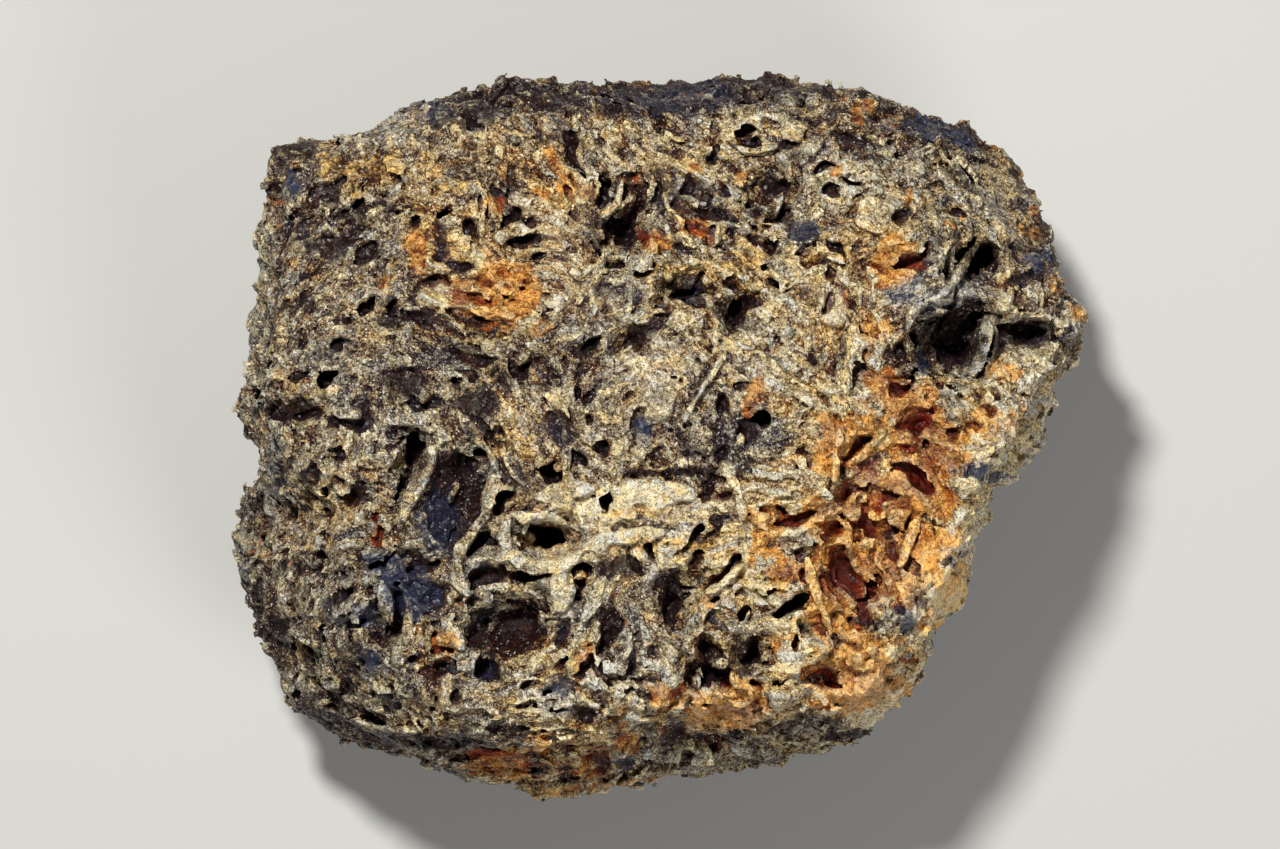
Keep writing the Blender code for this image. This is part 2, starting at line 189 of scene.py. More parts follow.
# Rounder pits: place, half sizes in plan steps, turn in degrees, depth in mm.
PITS = [
    (338, 453, 4, 4, 0, 2.0), (447, 211, 4, 3.5, 0, 3.2), (468, 224, 4, 6, 20, 4.0), (480, 201, 3, 3, 0, 1.8),
    (465, 201, 9, 5, 0, 1.4), (526, 220, 5, 3, 0, 1.5), (571, 216, 3, 5, 0, 1.6), (371, 181, 7, 5, 0, 1.5),
    (358, 208, 4, 6, 0, 1.6), (434, 279, 8, 4, 0, 1.8), (630, 208, 10, 7, 0, 1.4), (643, 233, 7, 8, 0, 1.8),
    (625, 235, 8, 12, 0, 2.0), (716, 137, 3, 9, 0, 1.5), (770, 164, 7, 8, 0, 1.4), (776, 140, 5, 3, 0, 1.4),
    (757, 212, 5, 7, 0, 1.8), (753, 240, 3, 6, 0, 2.2), (732, 234, 3, 6, 0, 2.0), (696, 200, 5, 3, 10, 2.2),
    (699, 227, 6, 3, 20, 2.0), (832, 192, 3, 4, 40, 1.6), (851, 216, 3, 3, 0, 1.8), (840, 248, 7, 6, 30, 2.0),
    (973, 160, 5, 5, 0, 2.2), (907, 144, 5, 3, 0, 1.6), (848, 152, 3, 6, 0, 1.4), (882, 268, 3, 3, 0, 1.4),
    (864, 276, 4, 3, 0, 1.4), (855, 448, 5, 5, 0, 2.0), (866, 467, 6, 6, 0, 1.8), (875, 458, 5, 5, 0, 1.6),
    (836, 530, 5, 4, 0, 3.0), (824, 537, 7, 4, 10, 2.6), (770, 589, 5, 4, 0, 3.0), (794, 643, 4, 4, 0, 3.0),
    (812, 645, 5, 4, 0, 3.4), (823, 676, 17, 12, 30, 2.4), (886, 673, 3, 1.6, 30, 1.4), (605, 503, 4, 3, 0, 2.0),
    (488, 575, 13, 6, -8, 1.5), (611, 628, 13, 17, 15, 2.2), (435, 600, 16, 12, 20, 1.6), (690, 667, 4, 8, 0, 3.0),
    (770, 280, 5, 5, 0, 2.0), (768, 245, 5, 4, 0, 2.0), (347, 683, 6, 6, 0, 2.6), (540, 635, 10, 12, 0, 1.2),
    (525, 640, 14, 12, 0, 1.4), (700, 488, 3, 5, 0, 2.0), (720, 491, 5, 5, 0, 1.6), (906, 452, 8, 4, 10, 1.6),
    (590, 716, 8, 9, 0, 1.4), (633, 768, 5, 6, 0, 2.0), (492, 668, 9, 7, 0, 1.6), (660, 429, 5, 5, 0, 1.0),
    (306, 222, 4, 7, 0, 1.2), (391, 210, 6, 4, 0, 1.2), (354, 221, 5, 5, 0, 1.2), (325, 196, 8, 4, 10, 1.2),
    (391, 309, 7, 8, 0, 1.4), (418, 315, 7, 12, -30, 1.2), (602, 284, 7, 5, 0, 1.4), (640, 193, 7, 5, 0, 1.6),
    (558, 428, 6, 9, 0, 1.2), (845, 575, 16, 20, 0, 2.4), (470, 600, 4, 3, 0, 1.8), (918, 598, 5, 7, 0, 1.6),
    (985, 409, 8, 4, 15, 1.6), (1022, 395, 12, 3, 10, 1.4), (976, 393, 7, 4, 30, 1.6), (1001, 346, 5, 6, 30, 2.2),
    (923, 366, 5, 7, 20, 1.8), (1021, 283, 12, 4, -10, 1.6), (255, 513, 5, 4, 0, 0.8), (866, 528, 5, 6, 0, 2.6),
    (300, 240, 3, 4, 0, 1.4), (415, 222, 3, 3, 0, 1.4), (540, 262, 4, 3, 0, 1.6), (655, 265, 4, 3, 0, 1.8),
    (660, 380, 4, 3, 0, 1.6), (625, 395, 3, 4, 0, 1.6), (548, 340, 3, 3, 0, 1.4), (470, 335, 4, 5, 0, 1.4),
    (450, 360, 5, 3, 0, 1.4), (500, 430, 4, 4, 0, 1.6), (590, 420, 4, 6, 0, 1.6), (330, 520, 4, 3, 0, 1.4),
    (360, 560, 5, 3, 0, 1.6), (340, 590, 4, 3, 0, 1.4), (320, 650, 3, 4, 0, 1.2), (400, 690, 4, 3, 0, 1.4),
    (455, 700, 4, 4, 0, 1.4), (540, 690, 3, 3, 0, 1.4), (580, 665, 3, 4, 0, 1.4), (780, 345, 3, 4, 0, 1.2),
    (800, 375, 3, 3, 0, 1.2), (790, 320, 4, 3, 0, 1.0), (850, 370, 3, 4, 0, 1.4), (870, 350, 3, 5, 0, 1.6),
    (700, 105, 4, 3, 0, 1.0), (560, 120, 4, 3, 0, 1.0), (480, 115, 5, 3, 0, 1.0), (380, 145, 4, 3, 0, 1.0),
]

# Narrow grooves and cracks: half width in plan steps, depth in mm, and the line.
GROOVES = [
    (3.0, 1.2, [(268, 393), (286, 383), (307, 374)]),
    (3.5, 1.8, [(322, 416), (330, 419), (342, 423), (356, 427)]),
    (4.0, 1.4, [(385, 375), (406, 370), (436, 368)]),
    (2.5, 1.1, [(289, 450), (305, 437), (318, 427)]),
    (2.6, 2.0, [(503, 465), (505, 474), (506, 483)]),
    (2.2, 2.0, [(405, 436), (394, 446), (388, 452)]),
    (3.0, 1.2, [(471, 416), (479, 426), (488, 435)]),
    (1.5, 1.6, [(607, 440), (607, 454)]),
    (1.8, 1.6, [(627, 463), (635, 443), (632, 421), (636, 411), (622, 393), (618, 372)]),
    (3.6, 2.2, [(660, 322), (641, 334), (627, 341)]),
    (3.2, 2.0, [(606, 304), (606, 315)]),
    (4.6, 2.5, [(640, 336), (653, 326), (667, 312)]),
    (1.2, 1.0, [(734, 420), (748, 412), (761, 401), (777, 388)]),
    (1.0, 0.8, [(755, 303), (760, 320), (762, 340), (770, 355), (768, 372)]),
    (4.2, 1.0, [(622, 472), (660, 473), (713, 470)]),
    (2.2, 1.0, [(811, 358), (815, 375), (808, 386)]),
    (2.4, 2.2, [(839, 448), (843, 462), (842, 474), (846, 490), (844, 499)]),
    (4.0, 2.0, [(791, 460), (797, 452), (803, 446)]),
    (4.6, 1.4, [(994, 280), (1016, 281), (1034, 275), (1054, 263)]),
    (5.0, 2.6, [(895, 394), (904, 388), (916, 376)]),
    (3.4, 2.0, [(852, 452), (862, 442), (873, 436)]),
    (1.2, 0.9, [(883, 251), (899, 262), (910, 266), (924, 268)]),
    (1.1, 0.9, [(912, 247), (905, 255), (897, 262)]),
    (3.0, 1.6, [(256, 560), (276, 561)]),
    (3.2, 2.2, [(258, 581), (258, 602)]),
    (1.8, 2.0, [(291, 586), (293, 609)]),
    (1.4, 1.0, [(264, 442), (271, 480), (277, 520), (286, 548)]),
    (1.2, 1.0, [(294, 612), (295, 650), (294, 690)]),
    (1.6, 1.8, [(395, 584), (394, 599)]),
    (3.6, 1.5, [(310, 553), (332, 559)]),
    (3.8, 1.6, [(329, 609), (343, 596), (355, 584)]),
    (3.0, 1.6, [(318, 632), (331, 624), (346, 615)]),
    (1.8, 2.0, [(454, 598), (472, 602)]),
    (3.4, 1.2, [(588, 655), (581, 676), (572, 690)]),
    (3.8, 3.0, [(774, 505), (781, 510), (788, 516)]),
    (2.6, 2.6, [(704, 588), (722, 575), (739, 560)]),
    (2.4, 2.0, [(710, 602), (729, 592)]),
    (1.8, 1.6, [(677, 635), (679, 652), (679, 670)]),
    (2.4, 2.0, [(855, 490), (865, 489), (877, 487)]),
    (3.4, 2.2, [(877, 514), (881, 500), (896, 495)]),
    (3.6, 3.0, [(866, 519), (870, 528), (874, 538)]),
    (2.6, 2.4, [(892, 548), (895, 562)]),
    (2.4, 1.2, [(946, 553), (958, 558), (972, 562)]),
    (2.4, 1.2, [(919, 565), (920, 590)]),
    (2.4, 1.3, [(323, 696), (355, 708), (382, 719)]),
    (2.4, 1.6, [(405, 662), (424, 655), (440, 651), (455, 653)]),
    (5.0, 1.8, [(419, 738), (450, 738), (480, 741)]),
    (5.0, 2.6, [(470, 756), (491, 747), (512, 759), (549, 770), (577, 778)]),
    (3.2, 1.4, [(626, 678), (640, 680), (659, 681)]),
    (1.8, 1.2, [(537, 704), (533, 716), (532, 730)]),
    (2.8, 2.6, [(673, 696), (688, 684), (688, 668)]),
    (3.4, 1.2, [(895, 675), (897, 684), (899, 694)]),
    (4.0, 1.6, [(690, 736), (720, 741), (737, 737)]),
    (2.6, 1.2, [(743, 732), (768, 721), (810, 718)]),
    (1.4, 1.3, [(290, 257), (297, 275), (309, 275)]),
    (1.4, 1.1, [(510, 170), (511, 184), (511, 197)]),
    (3.2, 1.7, [(504, 225), (511, 219), (518, 213)]),
    (3.6, 1.5, [(583, 244), (595, 254), (604, 241), (616, 221)]),
    (3.6, 1.0, [(437, 225), (441, 254), (455, 264), (473, 268)]),
    (3.2, 1.1, [(507, 241), (539, 239), (562, 246)]),
    (1.5, 1.3, [(534, 302), (547, 296), (559, 291)]),
    (1.3, 1.0, [(518, 281), (530, 282)]),
    (2.2, 2.2, [(712, 160), (716, 150)]),
    (2.4, 2.4, [(812, 171), (819, 166), (830, 161), (840, 164)]),
    (2.2, 2.2, [(713, 228), (711, 247)]),
    (1.6, 1.4, [(680, 208), (694, 213)]),
    (2.8, 0.8, [(837, 129), (851, 138), (866, 143), (884, 140)]),
    (1.8, 1.4, [(828, 274), (840, 285), (851, 299)]),
    (2.0, 1.4, [(896, 148), (903, 157)]),
    (2.0, 1.4, [(905, 205), (912, 213), (907, 220)]),
    (2.4, 1.4, [(600, 577), (620, 572), (640, 576)]),
    (2.2, 1.4, [(690, 650), (700, 642)]),
    (2.0, 1.2, [(560, 690), (552, 702)]),
    (1.2, 0.8, [(943, 380), (936, 388), (941, 399)]),
    (1.2, 0.8, [(905, 335), (903, 350), (908, 364)]),
]

# Blades, walls and ridges: half width in plan steps, how far they stand above the
# general face in mm (below it where negative), and the line.
RIDGES = [
    (7.0, 0.3, [(432, 449), (423, 472), (411, 497), (402, 519)]),
    (5.0, 0.2, [(490, 478), (487, 500), (485, 514), (472, 533), (460, 550), (456, 560)]),
    (6.5, 0.1, [(456, 562), (458, 580), (466, 592)]),
    (7.0, 0.4, [(505, 521), (503, 536), (508, 551), (519, 561), (536, 567), (553, 567), (570, 560), (584, 549)]),
    (4.5, 0.3, [(513, 515), (530, 517), (548, 517), (566, 524)]),
    (8.0, 0.4, [(538, 497), (560, 490), (590, 487)]),
    (12.0, 0.15, [(618, 494), (648, 492), (690, 494)]),
    (8.0, 0.3, [(585, 547), (612, 538), (640, 535), (662, 532)]),
    (3.0, 0.0, [(476, 561), (490, 559), (504, 558)]),
    (2.6, -1.6, [(448, 505), (453, 493), (457, 485)]),
    (2.6, -2.0, [(489, 633), (494, 624), (499, 614)]),
    (12.0, 0.1, [(559, 573), (562, 590), (560, 606)]),
    (7.0, 0.3, [(602, 578), (596, 597), (584, 618)]),
    (2.4, 0.5, [(626, 613), (630, 630), (630, 646), (622, 660)]),
    (5.0, 0.5, [(707, 591), (724, 580), (743, 567)]),
    (4.0, 0.2, [(770, 567), (777, 578), (784, 589)]),
    (4.5, 0.5, [(807, 558), (812, 577), (817, 594), (825, 615), (831, 635)]),
    (2.2, 0.6, [(831, 645), (821, 654), (811, 664)]),
    (6.0, 0.3, [(728, 473), (736, 490), (742, 508), (744, 520)]),
    (2.2, 0.3, [(724, 356), (707, 382), (694, 402), (685, 420)]),
    (1.8, 0.3, [(783, 192), (778, 208), (773, 228)]),
    (6.0, 0.1, [(332, 622), (343, 612), (352, 603)]),
    (6.5, 0.2, [(382, 587), (385, 603), (388, 619)]),
    (5.0, 0.3, [(900, 565), (906, 548), (912, 533), (918, 520)]),
    (4.5, 0.3, [(907, 331), (915, 310), (946, 291), (966, 264), (983, 236)]),
    (3.5, 0.2, [(907, 335), (911, 356), (922, 372), (933, 383)]),
    (7.0, 0.2, [(988, 320), (985, 345), (972, 372)]),
    (3.0, 0.4, [(1000, 322), (1025, 316), (1050, 317)]),
    (3.0, 0.3, [(736, 148), (750, 153), (762, 149), (776, 147)]),
    (5.0, 0.3, [(941, 172), (973, 215), (1004, 250)]),
    (4.0, 0.4, [(604, 215), (616, 204), (622, 180)]),
    (3.0, 0.3, [(840, 430), (836, 450), (835, 480)]),
    (6.0, 0.2, [(441, 618), (455, 634), (462, 648)]),
    (4.0, 0.0, [(345, 720), (380, 730), (415, 733)]),
    (2.6, 0.2, [(652, 240), (656, 256)]),
    (2.0, 0.4, [(718, 224), (718, 243)]),
    (2.6, 0.2, [(668, 224), (669, 236)]),
    (5.0, 0.1, [(640, 620), (648, 640), (640, 660)]),
]

# Knobs that stand in a pit or on the face: place, radius, height of the top in mm.
KNOBS = [
    (556.5, 467, 6.5, -1.4), (581, 573, 4.6, -1.2), (618, 451, 9, 0.3), (335, 412, 6, 0.1), (350, 415, 4.5, -0.3),
    (728, 473, 8, 0.5), (971, 431, 3.2, -0.6), (871, 651, 6, 0.3), (721, 662, 6, 0.1), (836, 316, 9, 0.3),
    (795, 131, 10, 0.4), (814, 143, 8, 0.3), (873, 217, 15, 0.3), (658, 395, 16, 0.3), (843, 172, 6, 0.2),
    (500, 152, 5, 0.2), (482, 257, 7, 0.3), (501, 236, 7, 0.2), (946, 590, 18, 0.2), (1003, 303, 9, 0.3),
    (578, 272, 6, 0.1), (655, 411, 9, 0.2), (700, 440, 12, 0.2), (760, 520, 9, 0.2), (604, 545, 9, 0.2),
    (853, 512, 8, 0.2), (899, 520, 9, 0.3), (856, 660, 7, 0.2), (780, 700, 8, 0.2), (700, 712, 8, 0.2),
    (655, 505, 10, 0.3), (560, 502, 8, 0.2), (446, 640, 8, 0.2), (540, 745, 7, 0.1), (395, 165, 9, 0.2),
]

# How much of the fine and coarse boxwork is open, and how rough the grain is, by zone:
# place, half sizes in plan steps, turn, value at the middle.
OPEN_ELSEWHERE, OPEN_FRONT = 0.12, 0.17
OPEN = [
    (345, 240, 95, 110, 0, 0.10), (520, 480, 110, 90, 0, 0.26), (380, 620, 90, 75, 0, 0.30),
    (560, 650, 110, 70, 0, 0.30), (710, 220, 110, 105, 0, 0.30), (760, 380, 110, 60, 0, 0.12),
    (845, 510, 70, 100, 0, 0.40), (955, 300, 70, 75, 0, 0.26), (1000, 470, 55, 65, 0, 0.05),
    (1015, 200, 40, 70, 20, 0.03), (850, 700, 55, 35, 0, 0.04), (650, 500, 75, 26, 0, 0.05),
    (450, 110, 190, 25, -6, 0.08), (260, 640, 35, 80, 0, 0.05), (730, 660, 70, 55, 0, 0.28),
    (950, 590, 38, 50, 0, 0.04), (540, 280, 90, 60, 0, 0.20), (450, 380, 60, 50, 0, 0.30),
]
PITTED_ELSEWHERE, PITTED_FRONT = 0.22, 0.36
PITTED = [
    (650, 500, 70, 26, 0, 0.14), (1010, 200, 40, 70, 20, 0.12), (850, 700, 55, 35, 0, 0.10),
    (1000, 470, 50, 60, 0, 0.18), (870, 510, 70, 110, 0, 0.66), (720, 200, 110, 90, 0, 0.46),
    (950, 590, 38, 50, 0, 0.10), (255, 640, 35, 90, 0, 0.12), (873, 217, 16, 20, 0, 0.05),
    (560, 585, 16, 26, 0, 0.06), (415, 485, 12, 42, 22, 0.06), (540, 545, 40, 30, 0, 0.14),
    (380, 620, 80, 70, 0, 0.46), (760, 380, 100, 60, 0, 0.26), (790, 330, 50, 50, 0, 0.22),
]


# Where the plates stand out less than elsewhere.
CALM = [
    (650, 500, 60, 24, 0, 0.15), (1010, 200, 40, 70, 20, 0.35), (850, 700, 55, 35, 0, 0.45),
    (950, 590, 38, 50, 0, 0.5), (873, 217, 16, 20, 0, 0.15), (560, 585, 15, 26, 0, 0.3),
    (415, 485, 11, 40, 22, 0.35), (540, 545, 40, 26, 0, 0.45), (1000, 470, 50, 60, 0, 0.7),
    (255, 640, 35, 90, 0, 0.6),
]


# ---- colour of the cellular face ---------------------------------------------
# How light the mineral is, with painted shade and light in places: darker along the top rim, which faces the key lamp,
# and lighter on the lower right slope, which faces away from it. Place, half sizes, turn, value from 0 (black) to 1
# (cream).
LIGHT_ELSEWHERE, LIGHT_FRONT = 0.31, 0.50
LIGHTNESS_AND_PAINTED_SHADING = [
    (345, 240, 115, 115, 0, 0.40), (270, 200, 40, 70, 0, 0.30), (525, 255, 80, 65, 0, 0.58), (520, 160, 90, 40, 0, 0.44),
    (700, 220, 120, 110, 0, 0.46), (820, 340, 95, 95, 0, 0.66), (845, 230, 70, 70, 0, 0.58), (600, 390, 110, 60, 0, 0.50),
    (445, 390, 60, 60, 0, 0.32), (330, 400, 70, 60, 0, 0.42), (440, 500, 42, 90, 10, 0.42), (345, 450, 80, 50, 0, 0.46),
    (350, 530, 70, 60, 0, 0.42), (370, 640, 95, 80, 0, 0.38), (500, 625, 40, 55, 0, 0.36), (245, 560, 26, 140, 0, 0.30),
    (600, 640, 60, 80, 0, 0.50), (620, 530, 95, 48, -5, 0.84), (560, 575, 60, 40, 0, 0.66), (700, 430, 70, 60, 0, 0.58),
    (830, 500, 90, 100, 0, 0.64), (960, 310, 75, 70, 0, 0.46), (1010, 450, 70, 100, 0, 0.74), (1040, 230, 32, 80, 15, 0.34),
    (960, 200, 60, 50, 0, 0.50), (700, 700, 90, 50, 0, 0.70), (870, 685, 65, 50, 0, 0.88), (640, 80, 330, 38, 0, 0.02),
    (925, 105, 100, 42, 25, 0.14), (600, 758, 210, 26, 0, 0.40), (330, 725, 80, 20, 25, 0.18), (300, 150, 60, 26, 0, 0.22),
    (955, 585, 50, 70, 0, 0.98), (770, 560, 60, 70, 0, 0.74), (730, 640, 50, 40, 0, 0.52), (380, 345, 70, 40, 0, 0.38),
    (420, 700, 90, 40, 0, 0.40), (820, 120, 60, 30, 0, 0.34), (850, 78, 50, 9, 0, 0.55), (258, 655, 30, 70, 0, 0.12), (735, 440, 50, 30, 0, 0.42), (910, 60, 80, 30, 0, 0.10), (1010, 250, 50, 40, 0, 0.42),
    (740, 135, 50, 26, 0, 0.58), (910, 212, 46, 36, 0, 0.62), (250, 262, 26, 60, 0, 0.48), (570, 285, 40, 30, 0, 0.62),
    (905, 290, 40, 30, 0, 0.58), (655, 360, 46, 34, 0, 0.66), (400, 430, 34, 30, 0, 0.44), (740, 440, 46, 26, 0, 0.36),
    (828, 600, 40, 30, 0, 0.54), (825, 660, 46, 26, 0, 0.96), (650, 745, 130, 22, 0, 0.52), (915, 510, 36, 36, 0, 0.58),
    (485, 360, 34, 30, 0, 0.36), (568, 362, 30, 28, 0, 0.46), (570, 436, 34, 26, 0, 0.46), (485, 660, 36, 28, 0, 0.40),
    (315, 140, 40, 24, 0, 0.30), (660, 360, 36, 26, 0, 0.72), (826, 588, 36, 28, 0, 0.46), (745, 440, 40, 24, 0, 0.28),
    (828, 655, 34, 24, 0, 0.72), (912, 362, 34, 26, 0, 0.42), (570, 355, 32, 26, 0, 0.26), (572, 436, 26, 22, 0, 0.36), (912, 362, 30, 22, 0, 0.24), (232, 360, 24, 26, 0, 0.60),
    (830, 362, 30, 24, 0, 0.50), (655, 286, 30, 24, 0, 0.56),
]
# How golden rather than grey the light mineral is.
WARM_ELSEWHERE, WARM_FRONT = 0.45, 0.50
WARM = [
    (345, 260, 120, 150, 0, 0.40), (500, 240, 90, 90, 0, 0.90), (250, 250, 25, 120, 0, 0.10),
    (250, 430, 30, 90, 0, 0.12), (245, 600, 40, 110, 0, 0.10), (340, 640, 80, 110, 0, 0.25),
    (420, 400, 70, 60, 0, 0.18), (440, 500, 50, 70, 0, 0.25), (640, 95, 260, 24, 0, 0.20),
    (600, 400, 90, 60, 0, 0.50), (760, 350, 90, 90, 0, 0.60), (690, 220, 90, 80, 0, 0.55),
    (620, 530, 90, 50, 0, 0.62), (500, 630, 60, 60, 0, 0.45), (820, 500, 110, 110, 0, 1.05),
    (965, 560, 70, 90, 0, 1.15), (980, 480, 60, 80, 0, 0.90), (740, 440, 46, 34, 0, 0.08), (690, 752, 80, 24, 0, 0.5), (570, 735, 40, 20, 0, 1.0), (255, 655, 28, 60, 0, 0.0), (740, 135, 50, 26, 0, 0.75), (700, 690, 110, 60, 0, 0.75), (870, 680, 60, 50, 0, 0.95),
    (960, 310, 70, 60, 0, 0.25), (1030, 220, 40, 90, 0, 0.55), (880, 130, 90, 40, 0, 0.55),
    (370, 745, 140, 30, 20, 0.05), (570, 765, 90, 26, 0, 0.95), (700, 755, 100, 20, 0, 0.15),
    (620, 640, 60, 60, 0, 0.35), (860, 280, 60, 75, 0, 1.0), (450, 170, 110, 30, 0, 0.70),
    (568, 660, 34, 26, 0, 0.66), (952, 588, 30, 40, 0, 0.85), (655, 662, 40, 26, 0, 0.62),
]
# Iron stain, orange on the face: place, half sizes, turn, strength.
ORANGE = [
    (510, 300, 36, 30, 0, 1.0), (496, 206, 13, 11, 0, 0.8), (543, 195, 9, 8, 0, 0.7), (553, 163, 11, 13, 0, 0.7),
    (567, 181, 11, 11, 0, 0.7), (282, 197, 7, 6, 0, 0.6), (384, 279, 6, 7, 0, 0.8), (417, 250, 14, 16, 0, 0.7),
    (417, 270, 11, 9, 0, 0.6), (858, 110, 16, 13, 0, 0.8), (910, 196, 5, 7, 0, 0.8), (959, 221, 9, 7, 0, 0.7),
    (1036, 210, 6, 6, 0, 0.7), (1033, 233, 8, 7, 0, 0.8), (898, 262, 26, 24, 0, 0.8), (892, 236, 7, 6, 0, 0.7),
    (833, 172, 10, 7, 0, 0.7), (634, 179, 6, 6, 0, 0.7), (696, 168, 7, 6, 0, 0.6), (743, 176, 8, 6, 0, 0.7),
    (650, 241, 11, 15, 0, 0.8), (668, 241, 7, 9, 0, 0.8), (1079, 315, 9, 11, 0, 0.9), (885, 325, 9, 20, 0, 0.6),
    (756, 396, 9, 20, 15, 0.7), (782, 570, 26, 30, 0, 0.8), (770, 520, 20, 30, 0, 0.6), (850, 440, 30, 50, 20, 0.7),
    (850, 540, 50, 70, 10, 0.85), (920, 460, 42, 70, 10, 0.8), (905, 560, 40, 45, 0, 0.8), (840, 610, 45, 30, 0, 0.7),
    (540, 747, 11, 10, 0, 0.8), (500, 760, 36, 13, 8, 0.8), (590, 762, 20, 14, 0, 0.8), (952, 535, 12, 14, 0, 0.6),
    (860, 672, 50, 42, 0, 0.62), (830, 678, 20, 16, 0, 0.8), (908, 660, 14, 12, 0, 0.8), (720, 712, 46, 28, 0, 0.62),
    (447, 640, 20, 18, 20, 0.55), (663, 700, 18, 14, 0, 0.7), (626, 740, 14, 14, 0, 0.6), (884, 385, 18, 20, 0, 0.65),
    (1000, 420, 30, 22, 0, 0.5), (940, 500, 20, 30, 0, 0.7), (740, 690, 30, 16, 0, 0.7), (705, 600, 12, 8, 0, 0.6),
    (585, 655, 10, 20, 20, 0.5), (378, 530, 7, 18, 0, 0.6), (620, 715, 12, 10, 0, 0.6), (790, 640, 18, 12, 0, 0.5),
    (698, 227, 12, 9, 0, 0.7), (486, 255, 10, 8, 0, 0.5), (820, 540, 16, 20, 0, 0.7), (540, 330, 20, 12, 0, 0.5),
    (585, 190, 16, 10, 0, 0.5), (870, 345, 10, 30, 0, 0.5), (310, 651, 9, 9, 0, 0.6), (660, 540, 20, 8, 0, 0.35),
    (1060, 290, 14, 14, 0, 0.5), (1005, 372, 24, 10, 0, 0.5), (905, 400, 30, 18, 0, 0.6), (570, 790, 60, 8, 0, 0.5),
]
# Where the stain is dark red-brown.
RUST = [
    (462, 294, 11, 17, 0, 1.0), (499, 285, 6, 6, 0, 0.8), (553, 163, 8, 9, 0, 0.6), (857, 111, 7, 8, 0, 0.8),
    (720, 185, 5, 7, 0, 0.8), (843, 575, 19, 26, 0, 1.0), (920, 475, 21, 19, 0, 1.0), (915, 430, 22, 18, 0, 0.9),
    (782, 570, 12, 12, 0, 0.7), (310, 651, 7, 7, 0, 0.6), (480, 769, 15, 8, 0, 0.8), (590, 762, 14, 10, 0, 0.7),
    (829, 676, 12, 10, 0, 0.6), (908, 659, 8, 7, 0, 0.9), (866, 470, 16, 20, 0, 0.7), (850, 515, 20, 14, 0, 0.7),
    (886, 560, 20, 22, 0, 0.6), (375, 530, 6, 18, 0, 0.7), (650, 241, 8, 10, 0, 0.6), (760, 395, 4, 16, 20, 0.6),
    (892, 500, 14, 26, 0, 0.7), (870, 600, 20, 14, 0, 0.6), (938, 446, 20, 16, 0, 0.7), (417, 252, 8, 9, 0, 0.5),
    (620, 728, 9, 9, 0, 0.6), (560, 765, 20, 8, 0, 0.6), (905, 385, 16, 10, 0, 0.5), (663, 728, 10, 9, 0, 0.5),
]
OCHRE = [
    (330, 166, 22, 12, 0, 0.8), (391, 166, 16, 10, 0, 0.8), (430, 165, 20, 11, 0, 0.7), (455, 185, 18, 10, 0, 0.5),
    (350, 190, 20, 9, 0, 0.5), (640, 512, 46, 5, -5, 0.7), (668, 546, 34, 9, 4, 0.7), (640, 530, 40, 16, 0, 0.25), (740, 590, 40, 30, 0, 0.4), (800, 600, 30, 24, 0, 0.4),
    (700, 560, 30, 24, 0, 0.4), (310, 260, 26, 14, 0, 0.3), (575, 240, 30, 12, 0, 0.3), (470, 180, 30, 10, 0, 0.4),
    (590, 560, 30, 20, 0, 0.3), (870, 160, 30, 20, 0, 0.3), (749, 255, 22, 12, 0, 0.6), (690, 272, 30, 8, 0, 0.5), (560, 500, 26, 12, 0, 0.4), (500, 450, 30, 14, 0, 0.5), (830, 370, 20, 40, 0, 0.3), (370, 470, 14, 30, 0, 0.4), (445, 600, 20, 12, 0, 0.4), (355, 170, 20, 10, 0, 0.5),
    (948, 590, 22, 40, 0, 0.5), (560, 660, 26, 12, 0, 0.4),
]
